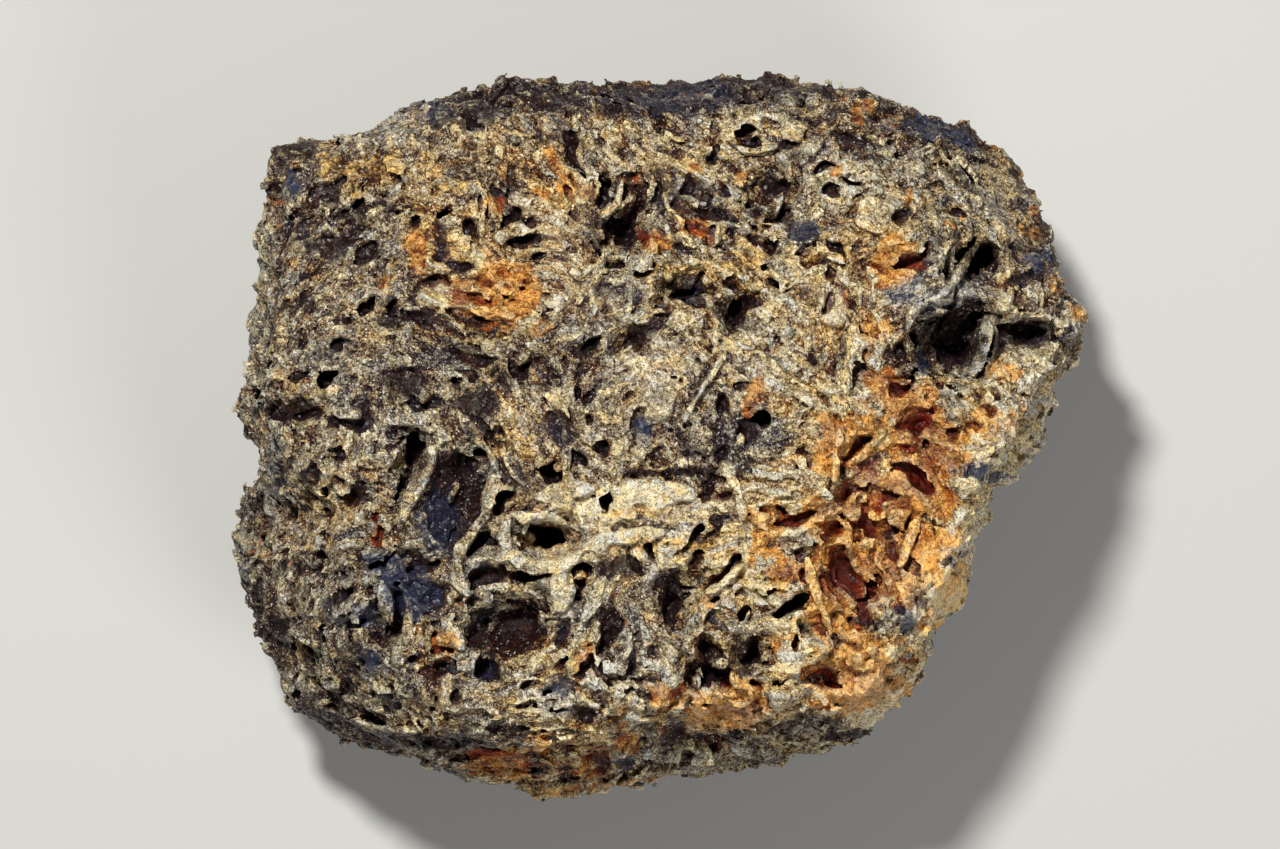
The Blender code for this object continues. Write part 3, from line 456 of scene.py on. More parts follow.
CREAM = [
    (428, 96, 8, 4, 0, 0.9), (426, 118, 6, 6, 0, 0.7), (454, 122, 8, 3, 0, 0.8), (602, 93, 10, 5, 0, 0.8),
    (500, 154, 6, 5, 0, 0.8), (581, 191, 13, 11, 0, 0.6), (504, 236, 12, 7, 0, 1.0), (482, 257, 13, 8, 0, 1.0),
    (438, 293, 13, 11, 0, 0.8), (630, 277, 6, 6, 0, 0.8), (641, 90, 8, 5, 0, 0.7), (692, 96, 10, 7, 0, 0.7),
    (669, 101, 9, 5, 0, 0.6), (757, 70, 10, 4, 0, 0.9), (788, 70, 9, 4, 0, 0.9), (823, 79, 18, 6, 0, 0.9),
    (855, 85, 16, 7, 0, 0.9), (881, 86, 14, 5, 0, 0.8), (886, 121, 8, 4, 0, 0.8), (895, 125, 6, 4, 0, 0.7),
    (812, 148, 14, 11, 0, 0.8), (796, 131, 9, 12, 0, 0.8), (935, 179, 11, 7, 0, 0.7), (730, 343, 7, 7, 0, 0.9),
    (836, 316, 11, 9, 0, 0.9), (835, 303, 16, 16, 0, 0.6), (1010, 302, 14, 9, 0, 0.6), (254, 273, 5, 6, 0, 0.7),
    (275, 232, 12, 20, 0, 0.5), (255, 548, 17, 11, 0, 0.8), (950, 575, 8, 12, 0, 0.6), (965, 513, 13, 11, 0, 0.6),
    (920, 660, 4, 5, 0, 0.9), (655, 496, 46, 9, -4, 0.8), (650, 524, 40, 9, -6, 0.75), (600, 500, 46, 10, 0, 0.5),
    (600, 552, 30, 8, -14, 0.8), (560, 590, 15, 27, 0, 0.8), (604, 590, 14, 14, 0, 0.6), (460, 596, 13, 11, 0, 0.6),
    (448, 634, 20, 18, 0, 0.5), (718, 234, 6, 9, 0, 0.7), (618, 451, 11, 10, 0, 0.8), (728, 473, 9, 10, 0, 0.9),
    (788, 259, 14, 10, 0, 0.8), (873, 218, 14, 19, 0, 0.5), (971, 273, 6, 11, 0, 0.6), (724, 578, 24, 9, -35, 0.7),
    (540, 560, 34, 10, 8, 0.7), (690, 494, 30, 12, 0, 0.6), (626, 640, 6, 24, 0, 0.7), (820, 654, 14, 5, -42, 0.8),
    (412, 490, 10, 38, 25, 0.45), (505, 530, 7, 16, 0, 0.6), (750, 500, 8, 24, -8, 0.5), (818, 590, 6, 40, -12, 0.5),
    (703, 388, 8, 34, 30, 0.4), (770, 148, 20, 6, 0, 0.5), (739, 88, 15, 9, 0, 0.4), (860, 660, 14, 10, 0, 0.4),
    (760, 520, 10, 10, 0, 0.6), (640, 410, 22, 30, 0, 0.35), (905, 545, 10, 22, 15, 0.4), (560, 500, 24, 8, 0, 0.6),
    (920, 300, 24, 4, -30, 0.4), (1000, 375, 20, 6, 0, 0.5), (930, 350, 5, 20, -20, 0.4), (482, 500, 6, 20, 0, 0.4),
]
# Dark lead sulphide in the grain.
DARK = [
    (293, 150, 26, 14, 0, 0.8), (466, 112, 36, 16, 0, 0.8), (618, 104, 26, 9, 0, 0.8), (676, 98, 58, 19, 0, 0.75),
    (771, 71, 14, 5, 0, 0.8), (330, 196, 11, 7, 0, 0.8), (293, 185, 9, 9, 0, 0.8), (359, 208, 9, 7, 0, 0.8),
    (354, 221, 11, 11, 0, 0.7), (337, 244, 22, 14, 0, 0.8), (389, 209, 9, 7, 0, 0.8), (376, 253, 9, 7, 0, 0.7),
    (300, 227, 6, 9, 0, 0.8), (391, 311, 13, 16, 0, 0.8), (305, 304, 11, 7, 0, 0.7), (400, 385, 22, 13, 0, 0.8),
    (558, 430, 10, 16, 0, 0.9), (485, 405, 18, 12, 0, 0.8), (644, 429, 9, 9, 0, 0.8), (712, 157, 9, 6, 0, 0.8),
    (786, 216, 9, 13, 0, 0.8), (802, 233, 19, 12, 0, 0.8), (672, 185, 28, 17, 10, 0.6), (902, 214, 9, 9, 0, 0.8),
    (915, 124, 13, 8, 0, 0.8), (939, 131, 14, 9, 10, 0.8), (960, 142, 14, 9, 20, 0.8), (965, 175, 13, 13, 0, 0.7),
    (1024, 173, 6, 16, 20, 0.7), (1050, 230, 8, 14, 0, 0.8), (1042, 262, 14, 9, 0, 0.8), (1057, 246, 6, 16, 0, 0.7),
    (1074, 294, 7, 8, 0, 0.8), (923, 366, 7, 10, 0, 0.9), (1000, 345, 9, 7, 0, 0.8), (985, 472, 22, 7, 0, 0.85),
    (959, 557, 14, 4, 15, 0.7), (919, 578, 4, 14, 0, 0.7), (918, 599, 7, 10, 0, 0.8), (906, 619, 10, 10, 0, 0.8),
    (255, 513, 10, 8, 0, 0.8), (241, 575, 8, 12, 0, 0.7), (382, 563, 19, 13, 0, 0.7), (360, 613, 15, 13, 0, 0.6),
    (371, 660, 11, 11, 0, 0.7), (440, 520, 22, 44, 0, 0.7), (620, 568, 20, 9, 0, 0.8), (561, 634, 10, 10, 0, 0.7),
    (626, 767, 14, 9, 0, 0.8), (676, 723, 10, 8, 0, 0.8), (333, 720, 40, 8, 20, 0.8), (396, 738, 24, 6, 5, 0.8),
    (450, 742, 36, 7, 0, 0.8), (850, 738, 30, 9, 0, 0.8), (585, 716, 11, 13, 0, 0.8), (690, 470, 34, 6, 0, 0.7),
    (640, 472, 24, 5, 0, 0.8), (1030, 276, 26, 7, -12, 0.8), (860, 138, 24, 6, 15, 0.7), (525, 239, 24, 5, 0, 0.8),
    (442, 240, 6, 18, 0, 0.8), (462, 268, 14, 6, 0, 0.7), (600, 235, 18, 14, -45, 0.7), (421, 314, 10, 20, -35, 0.7),
    (604, 285, 12, 8, 0, 0.8), (498, 672, 14, 12, 0, 0.7), (560, 690, 12, 12, 0, 0.6), (745, 655, 20, 20, 0, 0.7),
    (712, 665, 12, 26, 0, 0.7), (672, 600, 14, 34, 0, 0.6), (960, 335, 34, 30, 0, 0.7), (1030, 335, 26, 12, 0, 0.8),
    (985, 255, 20, 16, 0, 0.7), (905, 290, 22, 10, -35, 0.5), (690, 290, 26, 12, 0, 0.7), (738, 312, 26, 18, 0, 0.6),
    (625, 230, 14, 24, 0, 0.7), (605, 190, 12, 20, 0, 0.7), (515, 375, 14, 16, 0, 0.7), (345, 345, 12, 9, 0, 0.7),
    (290, 411, 34, 8, 5, 0.8), (350, 424, 22, 10, 0, 0.6), (775, 188, 16, 12, 0, 0.7), (750, 145, 16, 7, 0, 0.7),
    (500, 330, 30, 10, 20, 0.4), (450, 460, 26, 12, 0, 0.5), (800, 728, 40, 7, -5, 0.7), (520, 480, 10, 14, 0, 0.5),
    (575, 600, 10, 12, 0, 0.5), (345, 600, 20, 8, -45, 0.5), (300, 560, 20, 8, 0, 0.6), (310, 470, 10, 14, 0, 0.6),
    (455, 680, 16, 10, 0, 0.5), (520, 735, 16, 10, 0, 0.6), (735, 560, 10, 8, 0, 0.4), (790, 606, 18, 12, 0, 0.6),
    (700, 400, 6, 30, 30, 0.3), (585, 305, 8, 12, 0, 0.5), (870, 620, 14, 12, 0, 0.7), (640, 335, 20, 8, -30, 0.7),
    (640, 86, 280, 14, 0, 0.6), (415, 590, 28, 26, 0, 0.85), (404, 560, 24, 14, 0, 0.7), (350, 650, 16, 12, 0, 0.6),
    (945, 240, 26, 8, -30, 0.5), (560, 130, 30, 8, 0, 0.5), (830, 110, 20, 10, 0, 0.4), (1075, 345, 8, 16, 0, 0.5),
]
# Where the dark grain has a blue-grey bloom.
BLUE = [
    (293, 185, 10, 10, 0, 1.0), (644, 429, 10, 10, 0, 1.0), (930, 130, 26, 10, 15, 0.9), (965, 146, 16, 8, 20, 0.9),
    (1042, 262, 16, 10, 0, 1.0), (923, 366, 8, 11, 0, 1.0), (985, 472, 24, 8, 0, 0.9), (241, 575, 9, 14, 0, 0.8),
    (382, 563, 20, 14, 0, 0.9), (360, 613, 16, 14, 0, 1.0), (371, 660, 12, 12, 0, 0.8), (906, 619, 11, 11, 0, 0.9),
    (626, 766, 14, 9, 0, 0.8), (905, 290, 26, 12, -35, 1.0), (945, 300, 44, 12, -25, 0.7), (559, 700, 16, 16, 0, 0.7),
    (440, 520, 18, 40, 0, 0.6), (960, 557, 16, 6, 15, 0.8), (385, 120, 60, 12, -10, 0.6), (680, 98, 60, 14, 0, 0.5),
    (410, 588, 30, 28, 0, 0.8), (274, 490, 8, 50, 0, 0.6),
    (802, 233, 20, 12, 0, 0.7), (470, 670, 20, 20, 0, 0.6), (570, 620, 20, 20, 0, 0.5), (640, 640, 20, 30, 0, 0.5),
]
# Stain on the sloping rim, where the lists above fade out.
SLOPE = [(950, 592, 22, 42, 0, 0.85), (930, 650, 14, 18, 0, 0.5), (985, 430, 16, 30, 0, 0.35)]


# ---- noise ------------------------------------------------------------------
def spline_rows(count, first, step, wave):
    """Weights that read a coarse lattice at evenly spaced places, with a cubic spline."""
    t = (first + np.arange(count) * step) / wave
    base = np.floor(t).astype(int)
    f = t - base
    w = np.stack([(1 - f) ** 3, 3 * f**3 - 6 * f**2 + 4, -3 * f**3 + 3 * f**2 + 3 * f + 1, f**3]) / 6
    start = base.min() - 1
    rows = np.zeros((count, base.max() - start + 4), np.float32)
    for k in range(4):
        rows[np.arange(count), base - 1 + k - start] += w[k].astype(np.float32)
    return rows


def field_noise(shape, first, step, wave, seed):
    """Smooth noise over a whole grid, spread about 1."""
    rng = np.random.default_rng(SEED + seed)
    rows = [spline_rows(n, f, step, w) for n, f, w in zip(shape, first, np.broadcast_to(wave, len(shape)))]
    out = rng.standard_normal([r.shape[1] for r in rows]).astype(np.float32)
    for axis, r in enumerate(rows):
        out = np.moveaxis(np.tensordot(r, out, axes=(1, axis)), 0, axis)
    return out * (1.0 / 0.479 ** (len(shape) / 2))


def mixed(i, seed):
    """A well mixed number from 0 to 1 for whole numbers."""
    x = (i.astype(np.uint64) + np.uint64(seed * 7919 + 1)) * np.uint64(0x9E3779B97F4A7C15)
    x ^= x >> np.uint64(31)
    x *= np.uint64(0xBF58476D1CE4E5B9)
    x ^= x >> np.uint64(29)
    return ((x >> np.uint64(40)).astype(np.float32)) / np.float32(1 << 24)


def point_noise(p, wave, seed):
    """Smooth noise at loose points, from -1 to 1. p is n by 2 or n by 3."""
    g = p / wave
    base = np.floor(g).astype(np.int64)
    f = (g - base).astype(np.float32)
    f = f * f * f * (f * (f * 6 - 15) + 10)
    out = np.zeros(len(p), np.float32)
    for c in range(2 ** p.shape[1]):
        w = np.ones(len(p), np.float32)
        key = np.zeros(len(p), np.int64)
        for a in range(p.shape[1]):
            bit = (c >> a) & 1
            w *= f[:, a] if bit else 1 - f[:, a]
            key = key * 8191 + (base[:, a] + bit + 1000)
        out += w * (mixed(key, seed) * 2 - 1)
    return out


def cells(p, size, seed):
    """Nearest of a jittered lattice of points: distance, distance to the second, which, and from where."""
    g = (p / np.float32(size)).astype(np.float32)
    base = np.floor(g).astype(np.int32)
    low = base.min(0) - 1
    dims = base.max(0) - low + 2
    rng = np.random.default_rng(SEED + seed)
    spots = rng.random((int(np.prod(dims)), 3), dtype=np.float32) * 0.9 + 0.05
    n = len(p)
    near, second = np.empty(n, np.float32), np.empty(n, np.float32)
    which, away = np.empty(n, np.int32), np.empty((n, 3), np.float32)

    def part(a):
        b = min(a + 150_000, n)
        bb = base[a:b]
        frac = g[a:b] - bb
        f1 = np.full(b - a, 9.0, np.float32)
        f2 = np.full(b - a, 9.0, np.float32)
        who = np.zeros(b - a, np.int32)
        flat0 = ((bb[:, 0] - low[0]) * dims[1] + (bb[:, 1] - low[1])) * dims[2] + (bb[:, 2] - low[2])
        for dx in (-1, 0, 1):
            for dy in (-1, 0, 1):
                for dz in (-1, 0, 1):
                    key = flat0 + int((dx * dims[1] + dy) * dims[2] + dz)
                    s = spots[key] + np.float32([dx, dy, dz])
                    s -= frac
                    d = np.einsum("ij,ij->i", s, s)
                    closer = d < f1
                    f2 = np.where(closer, f1, np.minimum(f2, d))
                    who = np.where(closer, key, who)
                    f1 = np.where(closer, d, f1)
        near[a:b], second[a:b], which[a:b] = np.sqrt(f1) * size, np.sqrt(f2) * size, who
        # the nearest spot again, for the way to it
        cell = np.stack([who // (dims[1] * dims[2]), who // dims[2] % dims[1], who % dims[2]], 1) + low
        away[a:b] = (g[a:b] - cell - spots[who]) * size

    with ThreadPoolExecutor(4) as pool:
        list(pool.map(part, range(0, n, 150_000)))
    return near, second, which, away


def colony(p):
    """Splits space into colonies of parallel plates, each lying its own way: the place in
    the frame of the plates (thin, long, deep) in mm, and the colony's number."""
    near, second, who, away = cells(p, 8.5, 31)
    turn = mixed(who, 5) * (2 * math.pi)
    lean = (mixed(who, 6) - 0.5) * 1.3
    roll = (mixed(who, 7) - 0.5) * 1.4
    ct, st, cl, sl, cr, sr = np.cos(turn), np.sin(turn), np.cos(lean), np.sin(lean), np.cos(roll), np.sin(roll)
    thin = np.stack([ct * cl, st * cl, sl], 1)
    long_ = np.stack([-st, ct, np.zeros_like(ct)], 1)
    deep = np.cross(thin, long_)
    long2 = long_ * cr[:, None] + deep * sr[:, None]
    deep = np.cross(thin, long2)
    q = np.stack([(away * thin).sum(1), (away * long2).sum(1), (away * deep).sum(1)], 1)
    q += np.stack([mixed(who, 8), mixed(who, 9), mixed(who, 10)], 1) * 60
    return q, who, thin, long2, (second - near) * 0.5


def smooth01(x):
    x = np.clip(x, 0, 1)
    return x * x * (3 - 2 * x)


def zone(u, v, spots, out):
    """Blends each zone's value over what is there."""
    for cu, cv, a, b, turn, value in spots:
        c, s = math.cos(math.radians(turn)), math.sin(math.radians(turn))
        du, dv = u - cu, v - cv
        r = np.sqrt(((du * c + dv * s) / a) ** 2 + ((-du * s + dv * c) / b) ** 2)
        w = smooth01((1.25 - r) / 0.5)
        out = out * (1 - w) + value * w
    return out


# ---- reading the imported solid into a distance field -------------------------
def read_node():
    me = bpy.data.objects[NODE].data
    co = np.empty(len(me.vertices) * 3, np.float32)
    me.vertices.foreach_get("co", co)
    me.calc_loop_triangles()
    tri = np.empty(len(me.loop_triangles) * 3, np.int32)
    me.loop_triangles.foreach_get("vertices", tri)
    return co.reshape(-1, 3) * 1000.0, tri.reshape(-1, 3)


class Field:
    """A dense distance field, mm, negative inside."""

    def __init__(self, points, tris, step, band):
        grid = vdb.FloatGrid.createLevelSetFromPolygons(
            points, triangles=tris.astype(np.uint32), transform=vdb.createLinearTransform(voxelSize=step),
            halfWidth=float(band / step),
        )
        low, high = grid.evalActiveVoxelBoundingBox()
        self.step, self.low = step, np.array(low)
        self.f = np.empty([h - l + 1 for l, h in zip(low, high)], np.float32)
        grid.copyToArray(self.f, ijk=tuple(low))
        self.x, self.y, self.z = (((self.low[a] + np.arange(self.f.shape[a])) * step).astype(np.float32) for a in range(3))

    def noise(self, wave, seed):
        return field_noise(self.f.shape, self.low * self.step, self.step, wave, seed)

    def at(self, grid, p):
        """Reads a grid of this shape at loose points, mm."""
        g = p / self.step - self.low
        g = np.clip(g, 0, np.array(grid.shape) - 1.001)
        i = np.floor(g).astype(np.int64)
        f = (g - i).astype(np.float32)
        nx, ny, nz = grid.shape
        flat = grid.reshape(-1)
        out = np.zeros(len(p), np.float32)
        for c in range(8):
            a, b, d = c & 1, (c >> 1) & 1, c >> 2
            w = (f[:, 0] if a else 1 - f[:, 0]) * (f[:, 1] if b else 1 - f[:, 1]) * (f[:, 2] if d else 1 - f[:, 2])
            out += w * flat[((i[:, 0] + a) * ny + i[:, 1] + b) * nz + i[:, 2] + d]
        return out

    def mesh(self):
        edge = float(self.f.max())
        grid = vdb.FloatGrid(edge)
        grid.transform = vdb.createLinearTransform(voxelSize=self.step)
        grid.copyFromArray(self.f, ijk=tuple(int(n) for n in self.low), tolerance=0.0)
        return grid.convertToQuads(isovalue=0.0)


def inside_outline(pts, u, v):
    """Distance in plan steps to an outline, positive inside."""
    d = np.full(u.shape, 1e9, np.float32)
    odd = np.zeros(u.shape, bool)
    for (x0, y0), (x1, y1) in zip(pts, pts[1:] + pts[:1]):
        ex, ey = x1 - x0, y1 - y0
        t = np.clip(((u - x0) * ex + (v - y0) * ey) / (ex * ex + ey * ey + 1e-9), 0, 1)
        d = np.minimum(d, (u - x0 - ex * t) ** 2 + (v - y0 - ey * t) ** 2)
        if ey:
            odd ^= ((v >= min(y0, y1)) & (v < max(y0, y1))) & (u < x0 + (v - y0) * ex / ey)
    d = np.sqrt(d)
    return np.where(odd, d, -d)


def from_line(pts, u, v):
    """Distance in plan steps to a line, and how far along it, from 0 to 1."""
    d = np.full(u.shape, 1e9, np.float32)
    along = np.zeros(u.shape, np.float32)
    n = len(pts) - 1
    for k, ((x0, y0), (x1, y1)) in enumerate(zip(pts, pts[1:])):
        ex, ey = x1 - x0, y1 - y0
        t = np.clip(((u - x0) * ex + (v - y0) * ey) / (ex * ex + ey * ey + 1e-9), 0, 1)
        dd = np.sqrt((u - x0 - ex * t) ** 2 + (v - y0 - ey * t) ** 2)
        along = np.where(dd < d, (k + t) / n, along)
        d = np.minimum(d, dd)
    return d, along


def from_pit(cu, cv, a, b, turn, u, v):
    """Distance from the middle of a pit, 1 at its outline: an ellipse, uneven in its own way."""
    c, s = math.cos(math.radians(turn)), math.sin(math.radians(turn))
    x = ((u - cu) * c + (v - cv) * s) / a
    y = (-(u - cu) * s + (v - cv) * c) / b
    t = np.arctan2(y, x)
    return np.hypot(x, y) * (1 + 0.20 * np.sin(2 * t + cu) + 0.17 * np.sin(3 * t + cv) + 0.11 * np.sin(5 * t + cu + cv))


# ---- carving ----------------------------------------------------------------
def carve():
    points, tris = read_node()
    F = Field(points, tris, STEP, BAND)
    f = F.f
    base = f.copy()
    nx, ny, nz = f.shape

    # the height of the top face in each column, and its place on the plan
    solid = base < 0
    has = solid.any(axis=2)
    kt = nz - 1 - np.argmax(solid[:, :, ::-1], axis=2)
    i, j = np.meshgrid(np.arange(nx), np.arange(ny), indexing="ij")
    v0 = base[i, j, kt]
    v1 = base[i, j, np.minimum(kt + 1, nz - 1)]
    top = F.z[kt] + STEP * np.clip(v0 / (v0 - v1 - 1e-6), 0, 1)
    top = np.where(has, top, -50).astype(np.float32)
    X, Y = np.meshgrid(F.x, F.y, indexing="ij")
    U, V = plan(X, Y, np.where(has, top, 18))

    # edges of everything drawn on the plan wander a little
    flat = np.stack([U.ravel(), V.ravel()], 1)
    wu = (point_noise(flat, 22, 1) * 2.6 + point_noise(flat, 8, 2) * 1.9 + point_noise(flat, 4, 3) * 0.8).reshape(U.shape)
    wv = (point_noise(flat, 22, 4) * 2.6 + point_noise(flat, 8, 5) * 1.9 + point_noise(flat, 4, 6) * 0.8).reshape(U.shape)
    UW, VW = (U + wu).astype(np.float32), (V + wv).astype(np.float32)

    n_big = F.noise((9, 9, 9), 11)
    n_mid = F.noise((3.2, 3.2, 3.2), 12)
    n_low = F.noise((1.5, 1.5, 1.5), 13)
    n_fine = F.noise((0.75, 0.75, 0.75), 14)

    # which voxels of the band face the camera, 0 to 1: the normal's height
    gz = np.gradient(base, STEP, axis=2)
    up = smooth01((gz - 0.05) / 0.5)
    del gz

    # zones of the plan
    open_f = zone(U, V, OPEN, np.full(U.shape, OPEN_FRONT, np.float32)) * 1.15
    pit_f = zone(U, V, PITTED, np.full(U.shape, PITTED_FRONT, np.float32)) * 1.2

    # general relief: outward only a little
    relief = 0.18 * n_mid + 0.10 * n_low
    relief = np.where(relief < -0.25, -0.25 + (relief + 0.25) * 0.3, relief)
    f += relief * (0.75 + 0.25 * up)

    # ---- plates and open cells, in the band only
    idx = np.flatnonzero((base < 0.6) & (base > -BAND + 0.05))
    ii, jj, kk = np.unravel_index(idx, f.shape)
    p = np.stack([F.x[ii], F.y[jj], F.z[kk]], 1)
    depth = -base.reshape(-1)[idx]
    upb = up.reshape(-1)[idx]
    flat_f = f.reshape(-1)
    p[:, 0] += 0.5 * n_mid.reshape(-1)[idx] + 0.22 * n_low.reshape(-1)[idx]
    p[:, 1] += 0.7 * n_big.reshape(-1)[idx] - 0.22 * n_low.reshape(-1)[idx]
    p[:, 2] += 0.3 * n_mid.reshape(-1)[idx]
    q, _, _, _, _ = colony(p)

    steps = np.zeros(f.size, np.float32)

    def plates(q, sel, scale, seed, share, reach, offset, tilt, wall, crack):
        """Blocks of unlike height, cracks between them, and some left out down to a depth."""
        _, _, who, away = near = cells(q * np.float32(1 / np.array(scale)), 1.0, seed)
        gap = (near[1] - near[0]) * 0.5 * scale[0]
        d = depth[sel]
        g = np.stack([mixed(who, 11), mixed(who, 12), mixed(who, 13)], 1) - 0.5
        step = offset * (mixed(who, 14) ** 1.5) + tilt * (g * away).sum(1)
        amount = (0.55 + 0.45 * upb[sel]) * calm[ii[sel], jj[sel]]
        steps[idx[sel]] += step - offset * 0.4
        out = flat_f[idx[sel]] + step * amount
        shut = np.minimum((crack - gap) * 1.2, (crack * 3.0 - d) * 0.8)
        out = np.maximum(out, np.where(crack > 0, shut, -1.0))
        cut = np.minimum((gap - wall * (0.6 + 0.8 * mixed(who, 3))) * 1.2, (reach[0] + (reach[1] - reach[0]) * mixed(who, 2) ** 1.6 - d) * 0.85)
        flat_f[idx[sel]] = np.maximum(out, np.where(mixed(who, 1) < share, cut, -1.0))

    calm = zone(U, V, CALM, np.ones(U.shape, np.float32))
    every = np.arange(len(idx))
    share = OPEN_ELSEWHERE * (1 - upb) + open_f[ii, jj] * upb
    plates(q, every, (1.7, 4.2, 3.0), 21, share, (0.9, 3.8), 0.74, 1.08, 0.20, 0.20)
    sel = np.flatnonzero(depth < 2.0)
    share = (PITTED_ELSEWHERE * (1 - upb) + pit_f[ii, jj] * upb)[sel]
    plates(q[sel], sel, (0.85, 2.0, 1.4), 22, share, (0.35, 1.5), 0.38, 0.60, 0.12, 0.10)
    del p, q, share
    steps = steps.reshape(f.shape)

    # ---- features drawn on the plan
    Z = F.z[None, None, :]

    def window(pts, pad):
        us, vs = [a for a, _ in pts], [b for _, b in pts]
        m = (U > min(us) - pad) & (U < max(us) + pad) & (V > min(vs) - pad) & (V < max(vs) + pad) & has
        if not m.any():
            return None
        a, b = np.nonzero(m)
        return slice(a.min(), a.max() + 1), slice(b.min(), b.max() + 1)

    def cut_out(win, e_mm, depth_mm, ragged=0.22):
        """e_mm is how far inside the shape each column is."""
        t = top[win]
        k0 = max(0, int((t[t > 0].min() - depth_mm - 1.5) / STEP - F.low[2]))
        sl = (win[0], win[1], slice(k0, None))
        dv = t[:, :, None] - Z[:, :, k0:]
        e = e_mm[:, :, None] + 0.10 * np.clip(dv, 0, 4) + ragged * (0.6 * n_low[sl] + 0.5 * n_fine[sl]) + 0.16 * steps[sl]
        floor = depth_mm * (0.66 + 0.34 * np.clip(e_mm / 0.9, 0, 1))[:, :, None] + 0.40 * n_mid[sl] + 0.9 * steps[sl] + 0.14 * n_low[sl]
        c = np.minimum(e, (floor - dv) * 0.85)
        ok = e_mm > -1.2
        f[sl] = np.where(ok[:, :, None], np.maximum(f[sl], c), f[sl])

    def build_up(win, e_mm, rise, below=7.0, rag=0.12):
        t = top[win]
        k0 = max(0, int((t[t > 0].min() - below - 1.0) / STEP - F.low[2]))
        sl = (win[0], win[1], slice(k0, None))
        dz = Z[:, :, k0:] - t[:, :, None]
        crown = rise - 0.35 * np.clip(0.35 - e_mm, 0, 1)[:, :, None] + 0.16 * n_low[sl] + 0.12 * n_fine[sl] + 0.16 * n_mid[sl] - 0.42 * steps[sl]
        w = np.maximum(-(e_mm[:, :, None] - 0.16 * steps[sl] + rag * (0.7 * n_low[sl] + 0.5 * n_fine[sl])), dz - crown)
        w = np.maximum(w, -below - dz)
        f[sl] = np.minimum(f[sl], w)

    for depth_mm, pts in HOLES:
        win = window(pts, 14)
        if win:
            cut_out(win, inside_outline(pts, UW[win], VW[win]) * 0.1, 0.4 + 0.85 * depth_mm)
    for cu, cv, a, b, turn, depth_mm in PITS:
        m = max(a, b)
        win = window([(cu - m, cv - m), (cu + m, cv + m)], 12)
        if win:
            r = from_pit(cu, cv, a, b, turn, UW[win], VW[win])
            cut_out(win, (1 - r) * min(a, b) * 0.11, 0.3 + 1.05 * depth_mm, 0.27)
    for half, rise, pts in RIDGES:
        win = window(pts, 22)
        if win:
            d, along = from_line(pts, U[win] + 0.5 * wu[win], V[win] + 0.5 * wv[win])
            ends = half * (0.55 + 0.45 * smooth01(np.minimum(along, 1 - along) * 5))
            build_up(win, (ends - d) * 0.1, rise)
    for cu, cv, r, rise in KNOBS:
        win = window([(cu - r, cv - r), (cu + r, cv + r)], 10)
        if win:
            du, dv = U[win] + 1.1 * wu[win] - cu, V[win] + 1.1 * wv[win] - cv
            d = np.maximum(np.maximum(abs(du * 0.9 + dv * 0.35), abs(dv * 0.95 - du * 0.3)), 0.80 * np.hypot(du, dv))
            e = (r - d) * 0.1
            lean = 0.04 * (du * math.cos(cu) + dv * math.sin(cu))
            t = rise - 0.30 * (d / r) ** 4 * min(1.0, r / 9) - np.clip(lean, -0.3, 0.5)
            sl = (win[0], win[1])
            k0 = max(0, int((top[sl][top[sl] > 0].min() - 7) / STEP - F.low[2]))
            dz = Z[:, :, k0:] - top[sl][:, :, None]
            w = np.maximum(-(e[:, :, None] + 0.12 * n_low[sl][:, :, k0:]), dz - t[:, :, None] - 0.12 * n_fine[sl][:, :, k0:] - 0.16 * n_low[sl][:, :, k0:] + 0.40 * steps[sl][:, :, k0:])
            w = np.maximum(w, -6.0 - dz)
            f[sl][:, :, k0:] = np.minimum(f[sl][:, :, k0:], w)
    for half, depth_mm, pts in GROOVES:
        win = window(pts, 14)
        if win:
            d, along = from_line(pts, UW[win], VW[win])
            ends = half * (0.45 + 0.55 * smooth01(np.minimum(along, 1 - along) * 6))
            cut_out(win, (ends - d) * 0.1, 0.3 + 1.15 * depth_mm, 0.18)

    # grain: small bumps all over
    f += 0.07 * n_fine

    # nothing stands outside the solid's own size
    f = np.maximum(f, base - 0.34)
    f = np.maximum(f, (0.02 - Z) * np.ones_like(f))
    f = np.maximum(f, (Z - (CAD_BOX[1][2] * 1000 - 0.02)))
    F.f = f
    F.base, F.top, F.bend = base, top, (n_big, n_mid, n_low)
    full = np.clip(0.5 - f / STEP, 0, 1)
    F.near_full = blur(full, max(1, round(0.5 / STEP)), 2)
    F.wide_full = blur(full, round(1.9 / STEP), 2)
    return F


def blur(a, r, times):
    """Box blur of a grid, r cells each way."""
    for _ in range(times):
        for axis in range(3):
            a = np.moveaxis(a, axis, 0)
            c = np.cumsum(np.concatenate([np.repeat(a[:1], r + 1, 0), a, np.repeat(a[-1:], r, 0)]), axis=0, dtype=np.float32)
            a = np.moveaxis((c[2 * r + 1:] - c[: -2 * r - 1]) / (2 * r + 1), 0, axis)
    return np.ascontiguousarray(a)


def one_piece(points, quads):
    """Keeps the largest joined part of the mesh."""
    parent = np.arange(len(points))
    edges = np.concatenate([quads[:, [0, 1]], quads[:, [1, 2]], quads[:, [2, 3]], quads[:, [3, 0]]])
    edges = edges[edges[:, 0] != edges[:, 1]].astype(np.int64)
    while True:
        a, b = parent[edges[:, 0]], parent[edges[:, 1]]
        differ = a != b
        if not differ.any():
            break
        lo, hi = np.minimum(a, b)[differ], np.maximum(a, b)[differ]
        np.minimum.at(parent, hi, lo)
        for _ in range(6):
            parent = parent[parent]
    names, counts = np.unique(parent, return_counts=True)
    keep = parent == names[np.argmax(counts)]
    new = np.cumsum(keep) - 1
    q = quads[keep[quads[:, 0]]]
    return points[keep], new[q]


